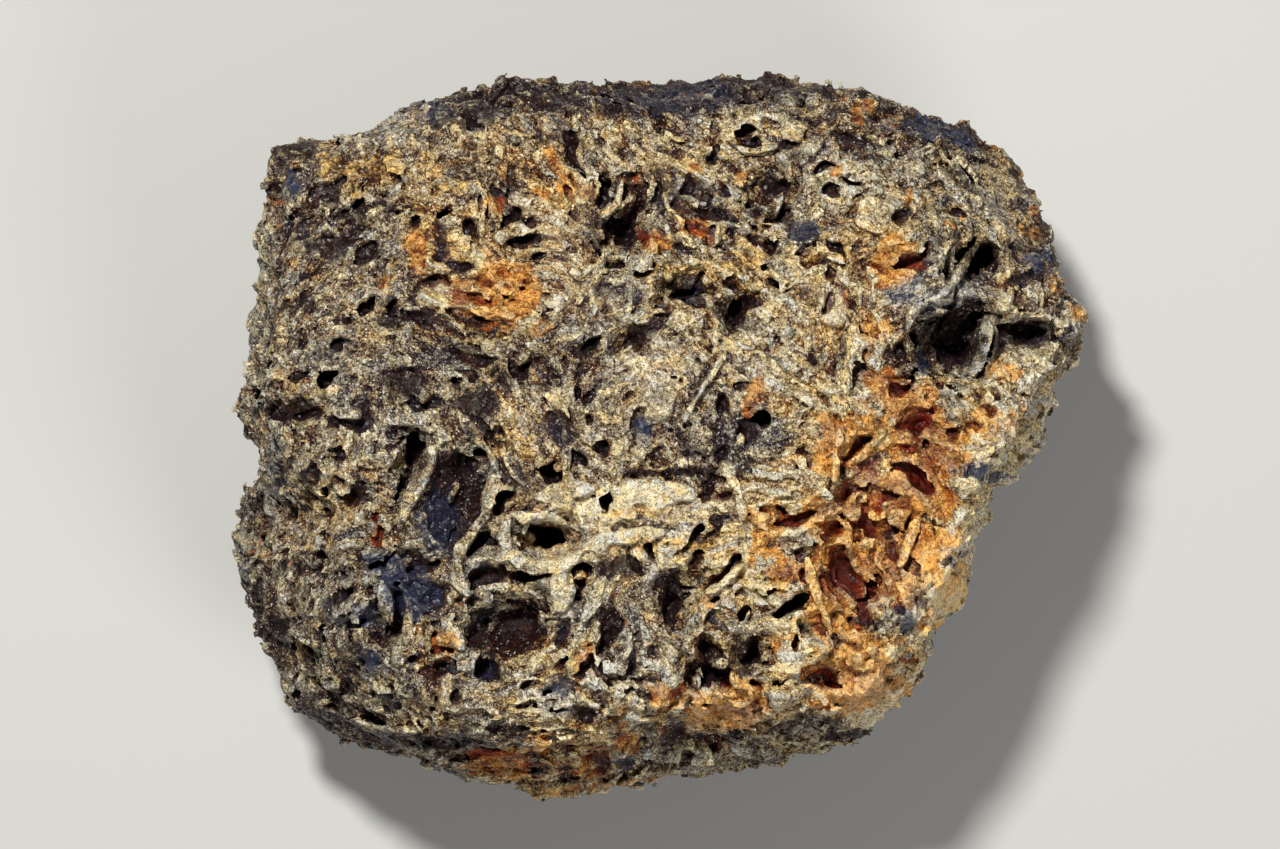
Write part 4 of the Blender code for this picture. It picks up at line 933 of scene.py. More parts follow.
def new_mesh(name, verts, faces):
    """A mesh from arrays; faces is n by 3 or n by 4."""
    me = bpy.data.meshes.new(name)
    n, k = faces.shape
    me.vertices.add(len(verts))
    me.vertices.foreach_set("co", np.ascontiguousarray(verts, np.float32).ravel())
    me.loops.add(n * k)
    me.loops.foreach_set("vertex_index", np.ascontiguousarray(faces, np.int32).ravel())
    me.polygons.add(n)
    me.polygons.foreach_set("loop_start", np.arange(n, dtype=np.int32) * k)
    me.update(calc_edges=True)
    me.validate()
    ob = bpy.data.objects.new(name, me)
    bpy.context.scene.collection.objects.link(ob)
    return ob


def vertex_array(me):
    co = np.empty(len(me.vertices) * 3, np.float32)
    me.vertices.foreach_get("co", co)
    return co.reshape(-1, 3)


def make_rock():
    F = carve()
    points, quads = F.mesh()
    points, quads = one_piece(points, quads)
    quads = quads[:, ::-1]
    ob = new_mesh("rock", points, quads)
    # first the flanks and the underside, which need fewer faces than the cellular face
    me = ob.data
    co = vertex_array(me)
    g = np.clip(np.round(co[:, :2] / STEP).astype(int) - F.low[:2], 0, np.array(F.top.shape) - 1)
    under = np.where(F.top[g[:, 0], g[:, 1]] > 0, F.top[g[:, 0], g[:, 1]] - co[:, 2], 20)
    far = under > 10
    group = ob.vertex_groups.new(name="plain")
    group.add(np.flatnonzero(far).tolist(), 1.0, "REPLACE")
    front = int((~far[quads[:, 0]]).sum()) * 2

    def thin(ratio, name):
        mod = ob.modifiers.new("fewer", "DECIMATE")
        mod.ratio = ratio
        mod.use_collapse_triangulate = True
        mod.vertex_group = name
        dg = bpy.context.evaluated_depsgraph_get()
        old, ob.data = ob.data, bpy.data.meshes.new_from_object(ob.evaluated_get(dg), depsgraph=dg)
        ob.modifiers.clear()
        bpy.data.meshes.remove(old)
        ob.data.update()

    thin((front + TRIANGLES * 0.20) / (2 * len(quads)), "plain")
    ob.vertex_groups.clear()
    thin(TRIANGLES / len(ob.data.polygons), "")
    done = ob.data
    co = vertex_array(done) / 1000.0
    lo, hi = np.array(CAD_BOX[0]) + 2e-5, np.array(CAD_BOX[1]) - 2e-5
    done.vertices.foreach_set("co", np.clip(co, lo, hi).astype(np.float32).ravel())
    done.update()
    return ob, F


def spots(u, v, wave, items):
    """The strongest of a list of soft-edged patches; wave roughens their edges."""
    out = np.zeros(len(u), np.float32)
    for cu, cv, a, b, turn, amount in items:
        near = np.flatnonzero((abs(u - cu) < 1.6 * max(a, b) + 3) & (abs(v - cv) < 1.6 * max(a, b) + 3))
        c, s = math.cos(math.radians(turn)), math.sin(math.radians(turn))
        du, dv = u[near] - cu, v[near] - cv
        r = np.sqrt(((du * c + dv * s) / a) ** 2 + ((-du * s + dv * c) / b) ** 2)
        out[near] = np.maximum(out[near], amount * smooth01((1.3 - r + 0.55 * wave[near]) / 0.6))
    return out


def drawn(u, v, under):
    """How far each point lies in one of the pits or grooves drawn on the plan."""
    out = np.zeros(len(u), np.float32)

    def lay(pts, pad, inside, depth):
        us, vs = [a for a, _ in pts], [b for _, b in pts]
        near = np.flatnonzero((u > min(us) - pad) & (u < max(us) + pad) & (v > min(vs) - pad) & (v < max(vs) + pad))
        if len(near):
            e = inside(u[near], v[near])
            deep = 0.55 + 0.45 * smooth01((under[near] / depth - 0.10) / 0.55)
            out[near] = np.maximum(out[near], smooth01((e + 1.0) / 3.0) * deep * min(1.0, 0.45 + depth / 5))

    for depth, pts in HOLES:
        lay(pts, 6, lambda a, b: inside_outline(pts, a, b), 0.4 + 0.85 * depth)
    for cu, cv, a, b, turn, depth in PITS:
        lay([(cu - a, cv - b), (cu + a, cv + b)], 6,
            lambda x, y: min(a, b) * (1 - from_pit(cu, cv, a, b, turn, x, y)), 0.3 + 1.05 * depth)
    for half, depth, pts in GROOVES:
        lay(pts, 6, lambda a, b: half - from_line(pts, a, b)[0], 0.3 + 1.15 * depth)
    # but not the knobs and blades that stand in them
    for cu, cv, r, _ in KNOBS:
        out *= 1 - 0.9 * smooth01((r - np.hypot(u - cu, v - cv) + 1.0) / 2.5)
    for half, _, pts in RIDGES:
        us, vs = [a for a, _ in pts], [b for _, b in pts]
        near = np.flatnonzero((u > min(us) - 16) & (u < max(us) + 16) & (v > min(vs) - 16) & (v < max(vs) + 16))
        if len(near):
            out[near] *= 1 - 0.9 * smooth01((half - from_line(pts, u[near], v[near])[0] + 0.5) / 2.0)
    return out


def paint(me, p):
    """Lays the masks the material reads on the points of a mesh; p is where each point
    takes its colour from, mm."""
    g = np.clip(np.round(p[:, :2] / STEP).astype(int) - F.low[:2], 0, np.array(F.top.shape) - 1)
    top = F.top[g[:, 0], g[:, 1]]
    under = np.where(top > 0, top - p[:, 2], 0)
    rise = F.at(F.base, p + np.float32([0, 0, 0.7])) - F.at(F.base, p - np.float32([0, 0, 0.7]))
    away = 1 - smooth01((rise / 1.4 + 0.02) / 0.30)
    away = np.maximum(away * smooth01((under - 1.5) / 3.0), smooth01((under - 6.5) / 6.0))
    front = 1 - away
    u, v = plan(p[:, 0], p[:, 1], p[:, 2])
    steep = 1 - smooth01((rise / 1.4 - 0.15) / 0.5)
    u = u + (34 * away + 12 * steep) * point_noise(p, 5.0, 56) + 9 * steep * point_noise(p, 1.9, 58)
    v = v + (34 * away + 12 * steep) * point_noise(p, 5.0, 57) + 9 * steep * point_noise(p, 1.9, 59)
    w1, w2, w3 = (point_noise(p, s, k) for s, k in ((1.1, 51), (2.6, 52), (7.0, 53)))
    wave = w1 * 0.7 + w2 * 0.8
    u, v = u + 3.0 * w2 + 2.0 * w1, v + 3.0 * point_noise(p, 2.6, 54) + 2.0 * point_noise(p, 1.1, 55)

    # painted shade inside the pits and grooves drawn on the plan
    in_pit_shade = drawn(u - 1.5 * w2, v - 1.5 * w2, under) * front
    q = p.copy()
    big, mid, low = (F.at(n, p) for n in F.bend)
    q[:, 0] += 0.5 * mid + 0.22 * low
    q[:, 1] += 0.7 * big - 0.22 * low
    q[:, 2] += 0.3 * mid
    q, who, _, _, rim = colony(q)
    _, _, coarse, _ = cells(q * np.float32([1 / 1.7, 1 / 4.2, 1 / 3.0]), 1.0, 21)
    _, _, fine, _ = cells(q * np.float32([1 / 0.85, 1 / 2.0, 1 / 1.4]), 1.0, 22)
    block = 0.5 + 0.55 * (mixed(coarse, 41) - 0.5) + 0.55 * (mixed(fine, 42) - 0.5) + 0.15 * (mixed(who, 43) - 0.5)

    # masks for painted shade and highlight: pit darkens deep and enclosed places, groove darkens small creases, edge
    # lightens exposed rims
    depth = -F.at(F.base, p)
    hollow = F.at(F.near_full, p) - 0.5
    wide = F.at(F.wide_full, p) - 0.5
    pit_shade = np.clip(smooth01((depth - 0.9) / 2.6) * 0.8 + np.clip(wide - 0.08, 0, 1) * 1.5, 0, 1)
    edge = np.clip(-hollow * 4.0 - 0.15, 0, 1)
    groove_shade = np.clip(hollow * 4.5 - 0.1, 0, 1)

    n3, n4, n5 = (point_noise(p, s, k) for s, k in ((4.5, 61), (6.0, 62), (3.4, 63)))
    # lightness of the mineral from the zone list, with its painted shade on the top rim and painted light on the lower
    # right slope
    lightness_and_shading = zone(u, v, LIGHTNESS_AND_PAINTED_SHADING, np.full(len(p), LIGHT_FRONT, np.float32)) * front + LIGHT_ELSEWHERE * (1 - front)
    seen = 1 - smooth01((under - 1.2) / 2.5)
    lightness_and_shading = lightness_and_shading + 0.05 * w3 + 0.05 * w2
    back = 1 - front
    orange = np.maximum(np.maximum(spots(u, v, wave, ORANGE) * 1.20, 0.95 * spots(u, v, wave, RUST)) * front, np.clip(n4 * 1.6 - 0.30 + 0.5 * w2 + 0.25 * w1, 0, 0.7) * (0.50 + 0.50 * back))
    rust = np.maximum(spots(u, v, wave, RUST) * 1.2 * front, np.clip(n5 * 1.6 - 0.3 + 0.5 * w1, 0, 1) * (0.35 + 0.65 * back))
    ochre = np.maximum(spots(u, v, wave, OCHRE) * front, np.clip(n3 * 1.4 - 0.25 + 0.3 * w1, 0, 0.6) * (0.6 + 0.4 * back))
    ochre = np.maximum(ochre, spots(u, v, wave, SLOPE) * seen)
    orange = np.maximum(orange, 0.9 * spots(u, v, wave, SLOPE) * seen * smooth01((w2 * 0.7 + w1 * 0.5 + 0.15) / 0.4))
    cream = np.maximum(spots(u, v, wave, CREAM) * front, np.clip(-n4 * 1.6 - 0.45 + 0.5 * w1, 0, 0.7) * (0.35 + 0.65 * back))
    dark = np.maximum(spots(u, v, wave, DARK) * front, np.clip(-n3 * 1.7 - 0.30 + 0.6 * w2, 0, 0.8) * (0.4 + 0.6 * back))
    blue = np.maximum(spots(u, v, wave, BLUE) * front, np.clip(n5 * 1.5 - 0.3, 0, 0.7) * (0.4 + 0.6 * back))

    def put(name, r, g_, b):
        att = me.attributes.get(name) or me.attributes.new(name, "FLOAT_COLOR", "POINT")
        data = np.ones((len(p), 4), np.float32)
        data[:, 0], data[:, 1], data[:, 2] = r, g_, b
        att.data.foreach_set("color", np.clip(data, 0, 1).ravel())

    put("tone", lightness_and_shading, dark, cream)
    put("stain", orange, rust, ochre)
    put("form", pit_shade, edge, block)
    put("more", blue, groove_shade, in_pit_shade)
    warm = zone(u, v, WARM, np.full(len(p), WARM_FRONT, np.float32)) * front + WARM_ELSEWHERE * back
    put("cast", warm + 0.12 * w3 + 0.25 * w2 + 0.34 * (mixed(coarse, 45) - 0.5) + 0.30 * (mixed(fine, 46) - 0.5), smooth01((rim - 0.15) / 0.5), zone(u, v, CALM, np.ones(len(p), np.float32)))
    att = me.attributes.get("plate") or me.attributes.new("plate", "FLOAT_VECTOR", "POINT")
    att.data.foreach_set("vector", np.ascontiguousarray(q, np.float32).ravel())


GOLD = [
    (0.00, (0.012, 0.003, 0.001)), (0.15, (0.060, 0.021, 0.007)), (0.34, (0.240, 0.120, 0.038)),
    (0.55, (0.455, 0.305, 0.122)), (0.76, (0.640, 0.485, 0.255)), (1.00, (0.820, 0.720, 0.530)),
]


def bonded(name):
    """The specimen's material."""
    mat = bpy.data.materials.new(name)
    mat.use_nodes = True
    nt = mat.node_tree
    nodes, links = nt.nodes, nt.links
    bsdf = nodes["Principled BSDF"]

    def put(sock, val):
        if isinstance(val, bpy.types.NodeSocket):
            links.new(val, sock)
        else:
            sock.default_value = val

    def m(op, a, b=0.0, c=0.0, clamp=False):
        n = nodes.new("ShaderNodeMath")
        n.operation, n.use_clamp = op, clamp
        put(n.inputs[0], a), put(n.inputs[1], b), put(n.inputs[2], c)
        return n.outputs[0]

    def vm(op, a, b=(0, 0, 0)):
        n = nodes.new("ShaderNodeVectorMath")
        n.operation = op
        put(n.inputs[0], a), put(n.inputs[1], b)
        return n.outputs["Value"] if op == "DOT_PRODUCT" else n.outputs[0]

    def scale(a, k):
        n = nodes.new("ShaderNodeVectorMath")
        n.operation = "SCALE"
        put(n.inputs[0], a)
        n.inputs["Scale"].default_value = k
        return n.outputs[0]

    def mask(name):
        n = nodes.new("ShaderNodeAttribute")
        n.attribute_name = name
        sep = nodes.new("ShaderNodeSeparateColor")
        links.new(n.outputs["Color"], sep.inputs[0])
        return sep.outputs[0], sep.outputs[1], sep.outputs[2]

    def step(x, lo, hi):
        n = nodes.new("ShaderNodeMapRange")
        n.interpolation_type = "SMOOTHSTEP"
        put(n.inputs[0], x)
        n.inputs[1].default_value, n.inputs[2].default_value = lo, hi
        return n.outputs[0]

    def mix(k, a, b, how="MIX"):
        n = nodes.new("ShaderNodeMix")
        n.data_type, n.blend_type = "RGBA", how
        put(n.inputs[0], k)
        put(n.inputs[6], a if isinstance(a, bpy.types.NodeSocket) else (*a, 1)), put(n.inputs[7], b if isinstance(b, bpy.types.NodeSocket) else (*b, 1))
        return n.outputs[2]

    def noise(vec, size, detail=3.0, rough=0.6, warp=0.0):
        n = nodes.new("ShaderNodeTexNoise")
        put(n.inputs["Vector"], vec)
        n.inputs["Scale"].default_value = 1.0 / size
        n.inputs["Detail"].default_value, n.inputs["Roughness"].default_value = detail, rough
        n.inputs["Distortion"].default_value = warp
        return n.outputs[0]

    def ramp(x, stops):
        n = nodes.new("ShaderNodeValToRGB")
        put(n.inputs[0], x)
        e = n.color_ramp.elements
        while len(e) < len(stops):
            e.new(0.5)
        for k, (pos, col) in enumerate(stops):
            e[k].position, e[k].color = pos, (*col, 1)
        return n.outputs[0]

    coord = nodes.new("ShaderNodeTexCoord")
    mm = scale(coord.outputs["Object"], 1000.0)
    n_mid = noise(mm, 1.3, 3)
    n_small = noise(mm, 0.45, 2)
    n_speck = noise(mm, 0.16, 1, 0.7)

    grain = nodes.new("ShaderNodeTexVoronoi")
    grain.feature = "F1"
    gv = scale(mm, 1 / 0.30)
    put(grain.inputs["Vector"], gv)
    grain.inputs["Scale"].default_value = 1.0
    grain_rand = nodes.new("ShaderNodeSeparateColor")
    links.new(grain.outputs["Color"], grain_rand.inputs[0])
    tilt = m("MULTIPLY", vm("DOT_PRODUCT", vm("SUBTRACT", grain.outputs["Color"], (0.5, 0.5, 0.5)), vm("SUBTRACT", gv, grain.outputs["Position"])), 0.30)

    # slivers along the plates of each colony
    plate = nodes.new("ShaderNodeAttribute")
    plate.attribute_name = "plate"
    slim = nodes.new("ShaderNodeVectorMath")
    slim.operation = "MULTIPLY"
    put(slim.inputs[0], plate.outputs["Vector"])
    slim.inputs[1].default_value = (1 / 0.62, 1 / 1.9, 1 / 1.25)
    sliver = nodes.new("ShaderNodeTexVoronoi")
    put(sliver.inputs["Vector"], slim.outputs[0])
    sliver.inputs["Scale"].default_value = 1.0
    sliver_rand = nodes.new("ShaderNodeSeparateColor")
    links.new(sliver.outputs["Color"], sliver_rand.inputs[0])
    seam_d = nodes.new("ShaderNodeTexVoronoi")
    seam_d.feature = "DISTANCE_TO_EDGE"
    put(seam_d.inputs["Vector"], slim.outputs[0])
    seam_d.inputs["Scale"].default_value = 1.0
    sliver_tilt = vm("DOT_PRODUCT", vm("SUBTRACT", sliver.outputs["Color"], (0.5, 0.5, 0.5)), vm("SUBTRACT", slim.outputs[0], sliver.outputs["Position"]))

    lightness_and_shading, dark, cream = mask("tone")
    orange, rust, ochre = mask("stain")
    pit_shade, edge, block = mask("form")
    blue, groove_shade, in_pit_shade = mask("more")
    warm, whole, rough_here = mask("cast")

    # how light, from the zone, the plate and the grain, with painted shade in pits, grooves and seams and a painted
    # highlight on exposed edges
    L = m("ADD", lightness_and_shading, m("MULTIPLY", m("SUBTRACT", block, 0.5), 0.36))
    L = m("ADD", L, m("MULTIPLY", m("SUBTRACT", n_mid, 0.5), 0.38))
    L = m("ADD", L, m("MULTIPLY", m("SUBTRACT", n_small, 0.5), 0.50))
    L = m("ADD", L, m("MULTIPLY", m("SUBTRACT", grain_rand.outputs[0], 0.5), 0.40))
    L = m("ADD", L, m("MULTIPLY", m("SUBTRACT", n_speck, 0.5), 1.40))
    crisp = m("MULTIPLY", whole, rough_here)
    # painted shade: dark hairlines along the seams between slivers, where crevices would lie in shade
    seam_shade = m("MULTIPLY", m("MULTIPLY", m("SUBTRACT", 1.0, step(seam_d.outputs["Distance"], 0.02, 0.12)), crisp), step(m("ADD", n_mid, m("MULTIPLY", sliver_rand.outputs[2], 0.3)), 0.50, 0.66))
    L = m("ADD", L, m("MULTIPLY", m("MULTIPLY", m("SUBTRACT", sliver_rand.outputs[0], 0.5), crisp), 0.30))
    L = m("SUBTRACT", L, m("MULTIPLY", seam_shade, 0.26))
    # painted highlight: exposed edges made lighter
    L = m("ADD", L, m("MULTIPLY", edge, 0.36))
    L = m("SUBTRACT", L, m("MULTIPLY", pit_shade, 0.42))
    L = m("SUBTRACT", L, m("MULTIPLY", in_pit_shade, 0.46))
    L = m("SUBTRACT", L, m("MULTIPLY", groove_shade, 0.40), clamp=True)
    col = ramp(L, [
        (0.00, (0.008, 0.003, 0.003)), (0.15, (0.036, 0.018, 0.013)), (0.32, (0.165, 0.106, 0.062)),
        (0.50, (0.365, 0.272, 0.152)), (0.74, (0.545, 0.448, 0.295)), (1.00, (0.745, 0.680, 0.550)),
    ])
    olive = ramp(L, [
        (0.00, (0.008, 0.004, 0.006)), (0.15, (0.034, 0.024, 0.024)), (0.32, (0.135, 0.106, 0.080)), (0.54, (0.310, 0.262, 0.190)), (0.76, (0.510, 0.455, 0.350)), (1.00, (0.76, 0.71, 0.59)),
    ])
    a = m("ADD", warm, m("ADD", m("MULTIPLY", m("SUBTRACT", n_mid, 0.5), 1.2), m("MULTIPLY", m("SUBTRACT", sliver_rand.outputs[2], 0.5), 0.30)))
    col = mix(step(a, 0.22, 0.62), olive, col)
    gold = ramp(L, GOLD)
    col = mix(step(a, 0.62, 1.0), col, gold)

    a = step(m("ADD", ochre, m("MULTIPLY", m("SUBTRACT", n_mid, 0.5), 0.9)), 0.30, 0.62)
    col = mix(m("MULTIPLY", a, 0.75), col, mix(1.0, (0.95, 0.62, 0.22), m("ADD", m("MULTIPLY", L, 0.9), 0.05), "MULTIPLY"))

    a = step(m("ADD", cream, m("ADD", m("MULTIPLY", m("SUBTRACT", n_mid, 0.5), 0.7), m("MULTIPLY", m("SUBTRACT", n_small, 0.5), 0.5))), 0.38, 0.66)
    a = m("MULTIPLY", a, m("SUBTRACT", 1.0, m("MULTIPLY", pit_shade, 0.8)))
    col = mix(m("MULTIPLY", a, 0.62), col, mix(1.0, mix(n_mid, (0.62, 0.48, 0.24), (0.86, 0.77, 0.55)), mix(L, (0.45, 0.42, 0.38), (1.1, 1.1, 1.1)), "MULTIPLY"))

    a = step(m("ADD", orange, m("ADD", m("MULTIPLY", m("SUBTRACT", n_mid, 0.5), 0.9), m("MULTIPLY", m("SUBTRACT", n_small, 0.5), 0.5))), 0.38, 0.70)
    # iron stain goes dark red-brown with the rust mask, and darker still with painted shade in pits, grooves and drawn
    # pits
    deep = m("ADD", m("MULTIPLY", rust, 0.95), m("ADD", m("MULTIPLY", m("ADD", pit_shade, m("MULTIPLY", in_pit_shade, 0.8)), 0.46), m("ADD", m("MULTIPLY", groove_shade, 0.6), m("ADD", m("MULTIPLY", m("SUBTRACT", n_small, 0.5), 1.6), m("MULTIPLY", m("SUBTRACT", grain_rand.outputs[2], 0.5), 0.8)))), clamp=True)
    iron = mix(deep, mix(n_small, (0.46, 0.165, 0.018), (0.90, 0.47, 0.105)), mix(n_small, (0.055, 0.008, 0.003), (0.42, 0.095, 0.011)))
    # painted highlight: iron stain paler orange on exposed edges
    iron = mix(m("MULTIPLY", edge, 0.5), iron, (0.80, 0.58, 0.30))
    iron = mix(1.0, iron, mix(L, (0.34, 0.25, 0.16), (1.34, 1.36, 1.34)), "MULTIPLY")
    col = mix(m("MULTIPLY", a, 0.82), col, iron)

    # painted shade: hollows, grooves and drawn pits are tinted browner and redder, the hue of shadow in them, less so
    # in the blue bloom
    hollow_shade = m("ADD", m("MULTIPLY", pit_shade, 0.5), m("ADD", m("MULTIPLY", groove_shade, 0.5), m("MULTIPLY", in_pit_shade, 0.5)), clamp=True)
    col = mix(m("MULTIPLY", hollow_shade, m("SUBTRACT", 1.0, m("MULTIPLY", blue, 0.8))), col, mix(1.0, col, (1.0, 0.74, 0.66), "MULTIPLY"))

    # and no two slivers have quite the same tint
    h = m("ADD", m("MULTIPLY", sliver_rand.outputs[1], 0.55), m("ADD", m("MULTIPLY", grain_rand.outputs[1], 0.20), m("MULTIPLY", m("SUBTRACT", 1.0, n_small), 0.50)))
    lit = step(L, 0.02, 0.32)
    col = mix(1.0, col, mix(step(h, 0.40, 0.80), mix(lit, (0.84, 0.84, 1.60), (0.940, 1.015, 1.16)), mix(lit, (1.95, 0.78, 0.46), (1.065, 1.005, 0.79))), "MULTIPLY")

    # every grain is a little lighter or darker than its neighbours
    g = m("ADD", m("MULTIPLY", grain_rand.outputs[0], 0.36), m("ADD", m("MULTIPLY", n_speck, 0.96), m("MULTIPLY", sliver_rand.outputs[1], 0.18)))
    grainy = nodes.new("ShaderNodeVectorMath")
    grainy.operation = "SCALE"
    put(grainy.inputs[0], col), put(grainy.inputs["Scale"], m("MAXIMUM", m("ADD", g, 0.23), 0.25))
    col = grainy.outputs[0]

    col = mix(m("MULTIPLY", m("MULTIPLY", blue, n_small), 0.9), col, mix(1.0, (0.38, 0.45, 0.58), m("ADD", m("MULTIPLY", L, 1.0), 0.08), "MULTIPLY"))

    # painted glints: bright specks in the colour stand in for cleavage glints, one grain in thirty, none in pits
    glint_and_speck_cells = nodes.new("ShaderNodeTexVoronoi")
    put(glint_and_speck_cells.inputs["Vector"], scale(mm, 1 / 0.14))
    glint_and_speck_cells.inputs["Scale"].default_value = 1.0
    glint_and_speck_rand = nodes.new("ShaderNodeSeparateColor")
    links.new(glint_and_speck_cells.outputs["Color"], glint_and_speck_rand.inputs[0])
    painted_glint = m("MULTIPLY", m("GREATER_THAN", m("ADD", glint_and_speck_rand.outputs[0], m("ADD", m("MULTIPLY", m("SUBTRACT", n_mid, 0.5), 0.34), m("MULTIPLY", m("SUBTRACT", n_small, 0.5), 0.40))), m("ADD", 0.985, m("MULTIPLY", orange, 0.05))), m("SUBTRACT", 1.0, pit_shade, clamp=True))
    col = mix(m("MULTIPLY", painted_glint, 0.70), col, (0.95, 0.91, 0.80))
    # dark specks in the grain
    col = mix(m("MULTIPLY", m("LESS_THAN", glint_and_speck_rand.outputs[0], 0.07), 0.65), col, (0.035, 0.026, 0.022))

    # specks of rust everywhere
    a = step(n_speck, 0.66, 0.74)
    col = mix(m("MULTIPLY", a, 0.5), col, (0.25, 0.075, 0.022))

    # dark grains, thick where the mask says, a little thicker in grooves and thinner on exposed edges as painted shade
    a = m("ADD", m("MULTIPLY", dark, 0.47), m("ADD", m("MULTIPLY", n_small, 0.55), m("MULTIPLY", n_mid, 0.45)))
    a = m("ADD", a, m("MULTIPLY", m("SUBTRACT", grain_rand.outputs[1], 0.5), 0.14))
    a = m("ADD", a, m("MULTIPLY", m("SUBTRACT", n_speck, 0.5), 0.35))
    a = m("ADD", a, m("SUBTRACT", m("MULTIPLY", groove_shade, 0.14), m("MULTIPLY", edge, 0.14)))
    dk = m("MULTIPLY", step(a, 0.66, 0.78), m("SUBTRACT", 1.0, m("MULTIPLY", rust, 0.85)))
    lead = mix(m("MULTIPLY", blue, step(n_small, 0.20, 0.52)), (0.015, 0.007, 0.008), (0.016, 0.027, 0.075))
    # painted glints: some lead grains lighter grey, standing in for the glints of galena
    lead = mix(step(m("ADD", grain_rand.outputs[2], m("MULTIPLY", m("SUBTRACT", n_small, 0.5), 1.2)), 0.96, 1.10), lead, (0.21, 0.21, 0.235))
    lead = mix(1.0, lead, mix(n_speck, (0.30, 0.30, 0.30), (1.9, 1.75, 1.65)), "MULTIPLY")
    col = mix(m("MULTIPLY", dk, 0.92), col, lead)

    links.new(col, bsdf.inputs["Base Color"])
    rough = m("SUBTRACT", 0.62, m("MULTIPLY", dk, 0.22))
    rough = m("ADD", rough, m("MULTIPLY", m("SUBTRACT", grain_rand.outputs[1], 0.5), 0.28))
    links.new(rough, bsdf.inputs["Roughness"])
    bsdf.inputs["IOR"].default_value = 1.5
    bsdf.inputs["Specular IOR Level"].default_value = 0.26

    bump = nodes.new("ShaderNodeBump")
    height = m("ADD", m("MULTIPLY", tilt, 0.7), m("MULTIPLY", m("MULTIPLY", sliver_tilt, crisp), 0.46))
    links.new(height, bump.inputs["Height"])
    bump.inputs["Distance"].default_value = 0.001
    bump.inputs["Strength"].default_value = 0.8
    links.new(bump.outputs[0], bsdf.inputs["Normal"])
    return mat


rock, F = make_rock()
co = vertex_array(rock.data) * 1000
paint(rock.data, co)
stone = bonded("anglesite_rock")
rock.data.polygons.foreach_set("use_smooth", np.zeros(len(rock.data.polygons), bool))

rock.data.materials.clear()
rock.data.materials.append(stone)


# ---- crystals that stand on the surface --------------------------------------
def surface(me, count, weight, rng):
    """Points spread over a mesh by area and weight: place, outward direction."""
    n = len(me.polygons)
    tri = np.empty(n * 3, np.int32)
    me.polygons.foreach_get("vertices", tri)
    tri = tri.reshape(-1, 3)
    co = vertex_array(me) * 1000
    a, b, c = co[tri[:, 0]], co[tri[:, 1]], co[tri[:, 2]]
    cross = np.cross(b - a, c - a)
    size = np.linalg.norm(cross, axis=1)
    mid = (a + b + c) / 3
    w = size * weight(mid)
    pick = rng.choice(n, count, p=w / w.sum())
    r = rng.random((count, 2))
    over = r.sum(1) > 1
    r[over] = 1 - r[over]
    p = a[pick] + (b - a)[pick] * r[:, :1] + (c - a)[pick] * r[:, 1:]
    return p.astype(np.float32), (cross[pick] / size[pick][:, None]).astype(np.float32)


def unit(v):
    return v / np.maximum(np.linalg.norm(v, axis=1), 1e-9)[:, None]


def crystals(axes, half, shape, rng):
    """Copies of one crystal round the origin, each scaled and turned its own way.
    shape is its corners in its own axes, half its half sizes."""
    local = shape[None] * half[:, None, :]
    local = local * (1 + 0.16 * (rng.random(local.shape) - 0.5))
    return np.einsum("nki,nij->nkj", local, axes)


def cluster(name, pts, faces, own, mat, block):
    """One mesh of many crystals. own is the place each takes its colour from."""
    n, k = pts.shape[:2]
    tri = (faces[None] + (np.arange(n) * k)[:, None, None]).reshape(-1, faces.shape[1])
    box = np.array(CAD_BOX) * 1000
    v = np.clip(pts.reshape(-1, 3), box[0] + 0.02, box[1] - 0.02)
    ob = new_mesh(name, v / 1000.0, tri)
    if len(ob.data.vertices) != n * k:
        raise SystemExit(name + ": points were lost")
    paint(ob.data, np.repeat(own, k, axis=0))
    form = ob.data.attributes["form"]
    d = np.empty(n * k * 4, np.float32)
    form.data.foreach_get("color", d)
    d = d.reshape(-1, 4)
    d[:, 2] = np.repeat(block, k)
    # the grains get half the rock's painted edge highlight, and at least a little
    d[:, 1] = np.maximum(d[:, 1] * 0.5, 0.10)
    form.data.foreach_set("color", d.ravel())
    ob.data.materials.append(mat)
    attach(ob, "root")
    return ob


def density(mid):
    """Where the grains grow: thick on the cellular face, thin in pits and on calm faces."""
    g = np.clip(np.round(mid[:, :2] / STEP).astype(int) - F.low[:2], 0, np.array(F.top.shape) - 1)
    top = F.top[g[:, 0], g[:, 1]]
    under = np.where(top > 0, top - mid[:, 2], 9)
    d = 0.22 + 0.78 * (1 - smooth01((under - 4) / 5))
    u, v = plan(mid[:, 0], mid[:, 1], mid[:, 2])
    d *= 0.35 + 0.65 * zone(u, v, CALM, np.ones(len(mid), np.float32))
    p = mid.astype(np.float32)
    d *= 1 - 0.92 * smooth01((-F.at(F.base, p) - 0.8) / 1.4) * (under < 9)
    d *= 1 - 0.8 * smooth01((F.at(F.wide_full, p) - 0.56) / 0.12)
    return d * (mid[:, 2] > 0.6)


GRAIN = np.array([(1, 0, 0), (-1, 0, 0), (0, 1, 0), (0, -1, 0), (0, 0, 1), (0, 0, -1)], float)
GRAIN_FACES = np.array([(0, 2, 4), (2, 1, 4), (1, 3, 4), (3, 0, 4), (2, 0, 5), (1, 2, 5), (3, 1, 5), (0, 3, 5)])


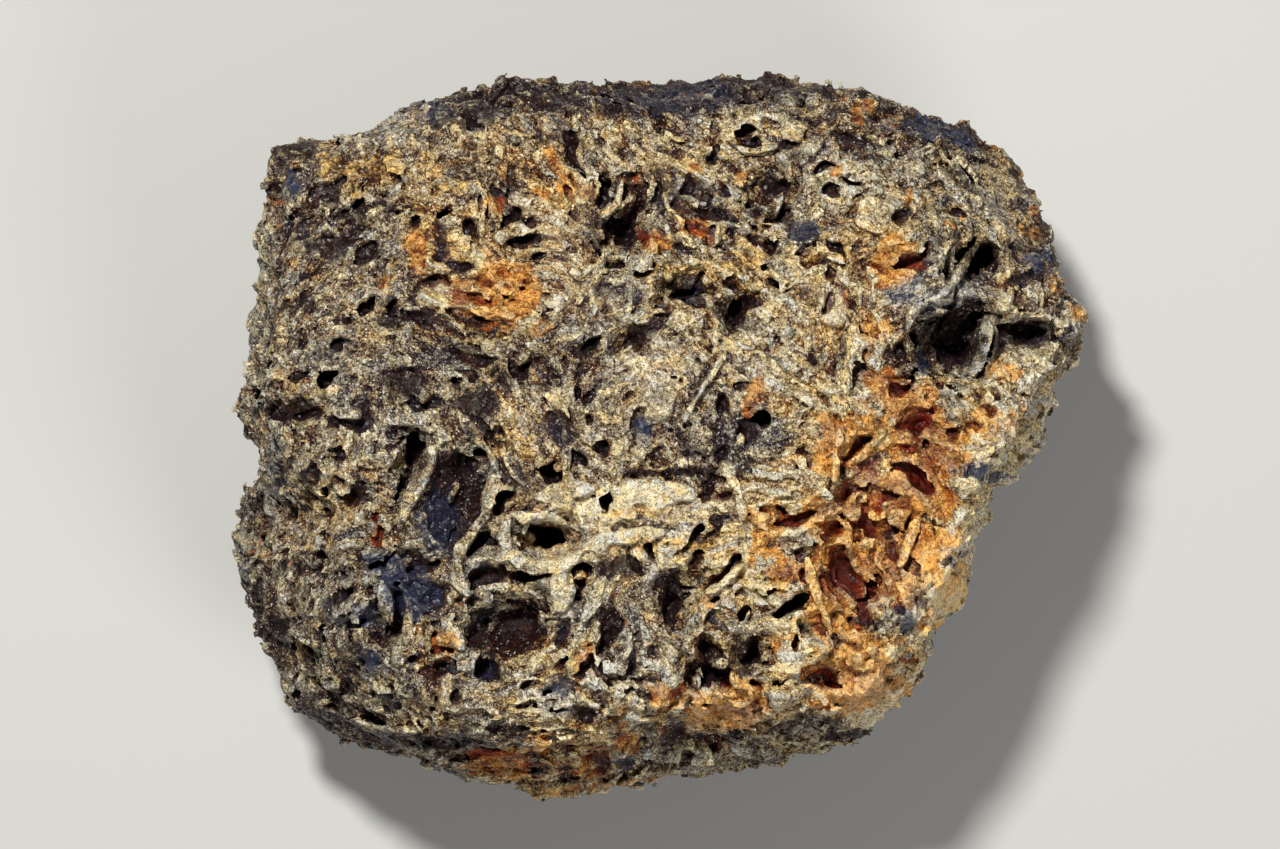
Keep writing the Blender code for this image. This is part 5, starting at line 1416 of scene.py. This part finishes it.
def grains(name, count, seed, size, mat):
    """Small double pyramids half let into the surface, as a sugary druse."""
    rng = np.random.default_rng(SEED + seed)
    p, n = surface(rock.data, count, density, rng)
    turn = rng.standard_normal((count, 3, 3))
    a = unit(turn[:, 0])
    b = unit(turn[:, 1] - a * (turn[:, 1] * a).sum(1)[:, None])
    axes = np.stack([a, b, np.cross(a, b)], 1)
    base = size[0] + (size[1] - size[0]) * rng.random(count) ** 2.2
    half = base[:, None] / 2 * (0.7 + 0.7 * rng.random((count, 3)))
    pts = crystals(axes, half, GRAIN, rng)
    pts = pts + (p + n * (0.05 * base)[:, None])[:, None]
    return cluster(name, pts, GRAIN_FACES, p, mat, rng.random(count))


grains("sugar", 22000, 72, (0.14, 0.40), stone)

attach(rock, "root")
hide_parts(NODE)


# ---- stage ------------------------------------------------------------------
def area(name, place, aim, size, power, colour=(1, 1, 1)):
    data = bpy.data.lights.new(name, "AREA")
    data.shape = "DISK"
    data.size = size
    data.energy = power
    data.color = colour
    ob = bpy.data.objects.new(name, data)
    ob.location = place
    ob.rotation_euler = (Vector(aim) - Vector(place)).to_track_quat("-Z", "Y").to_euler()
    bpy.context.scene.collection.objects.link(ob)
    return ob


floor_me = bpy.data.meshes.new("floor")
floor_me.from_pydata([(-3, -3, 0), (3, -3, 0), (3, 3, 0), (-3, 3, 0)], [], [(0, 1, 2, 3)])
floor = bpy.data.objects.new("floor", floor_me)
bpy.context.scene.collection.objects.link(floor)
fmat = bpy.data.materials.new("pale_floor")
fmat.use_nodes = True
fmat.node_tree.nodes["Principled BSDF"].inputs["Base Color"].default_value = (0.62, 0.63, 0.64, 1)
fmat.node_tree.nodes["Principled BSDF"].inputs["Roughness"].default_value = 0.75
floor_me.materials.append(fmat)

world = bpy.data.worlds.new("studio")
world.use_nodes = True
world.node_tree.nodes["Background"].inputs["Color"].default_value = (1.0, 0.95, 0.92, 1)
world.node_tree.nodes["Background"].inputs["Strength"].default_value = 0.07
bpy.context.scene.world = world

area("key", (-0.12, 0.24, 0.55), (0, 0, 0.03), 0.07, 3.68, (1.0, 0.975, 0.89))
area("fill", (0.30, -0.34, 0.42), (0, 0, 0.03), 0.30, 1.25, (1.0, 0.97, 0.91))

cam_data = bpy.data.cameras.new("camera")
cam_data.sensor_width = 36.0
cam_data.lens = 196.875
cam_data.clip_start = 0.01
cam_data.clip_end = 20
cam = bpy.data.objects.new("camera", cam_data)
cam.location = (EYE[0] / 1000, EYE[1] / 1000, EYE[2] / 1000)
cam.rotation_euler = (0, 0, 0)
bpy.context.scene.collection.objects.link(cam)
bpy.context.scene.camera = cam
bpy.context.scene.view_settings.view_transform = "Standard"
bpy.context.scene.cycles.max_bounces = 3
bpy.context.scene.cycles.diffuse_bounces = 1
bpy.context.scene.cycles.glossy_bounces = 1
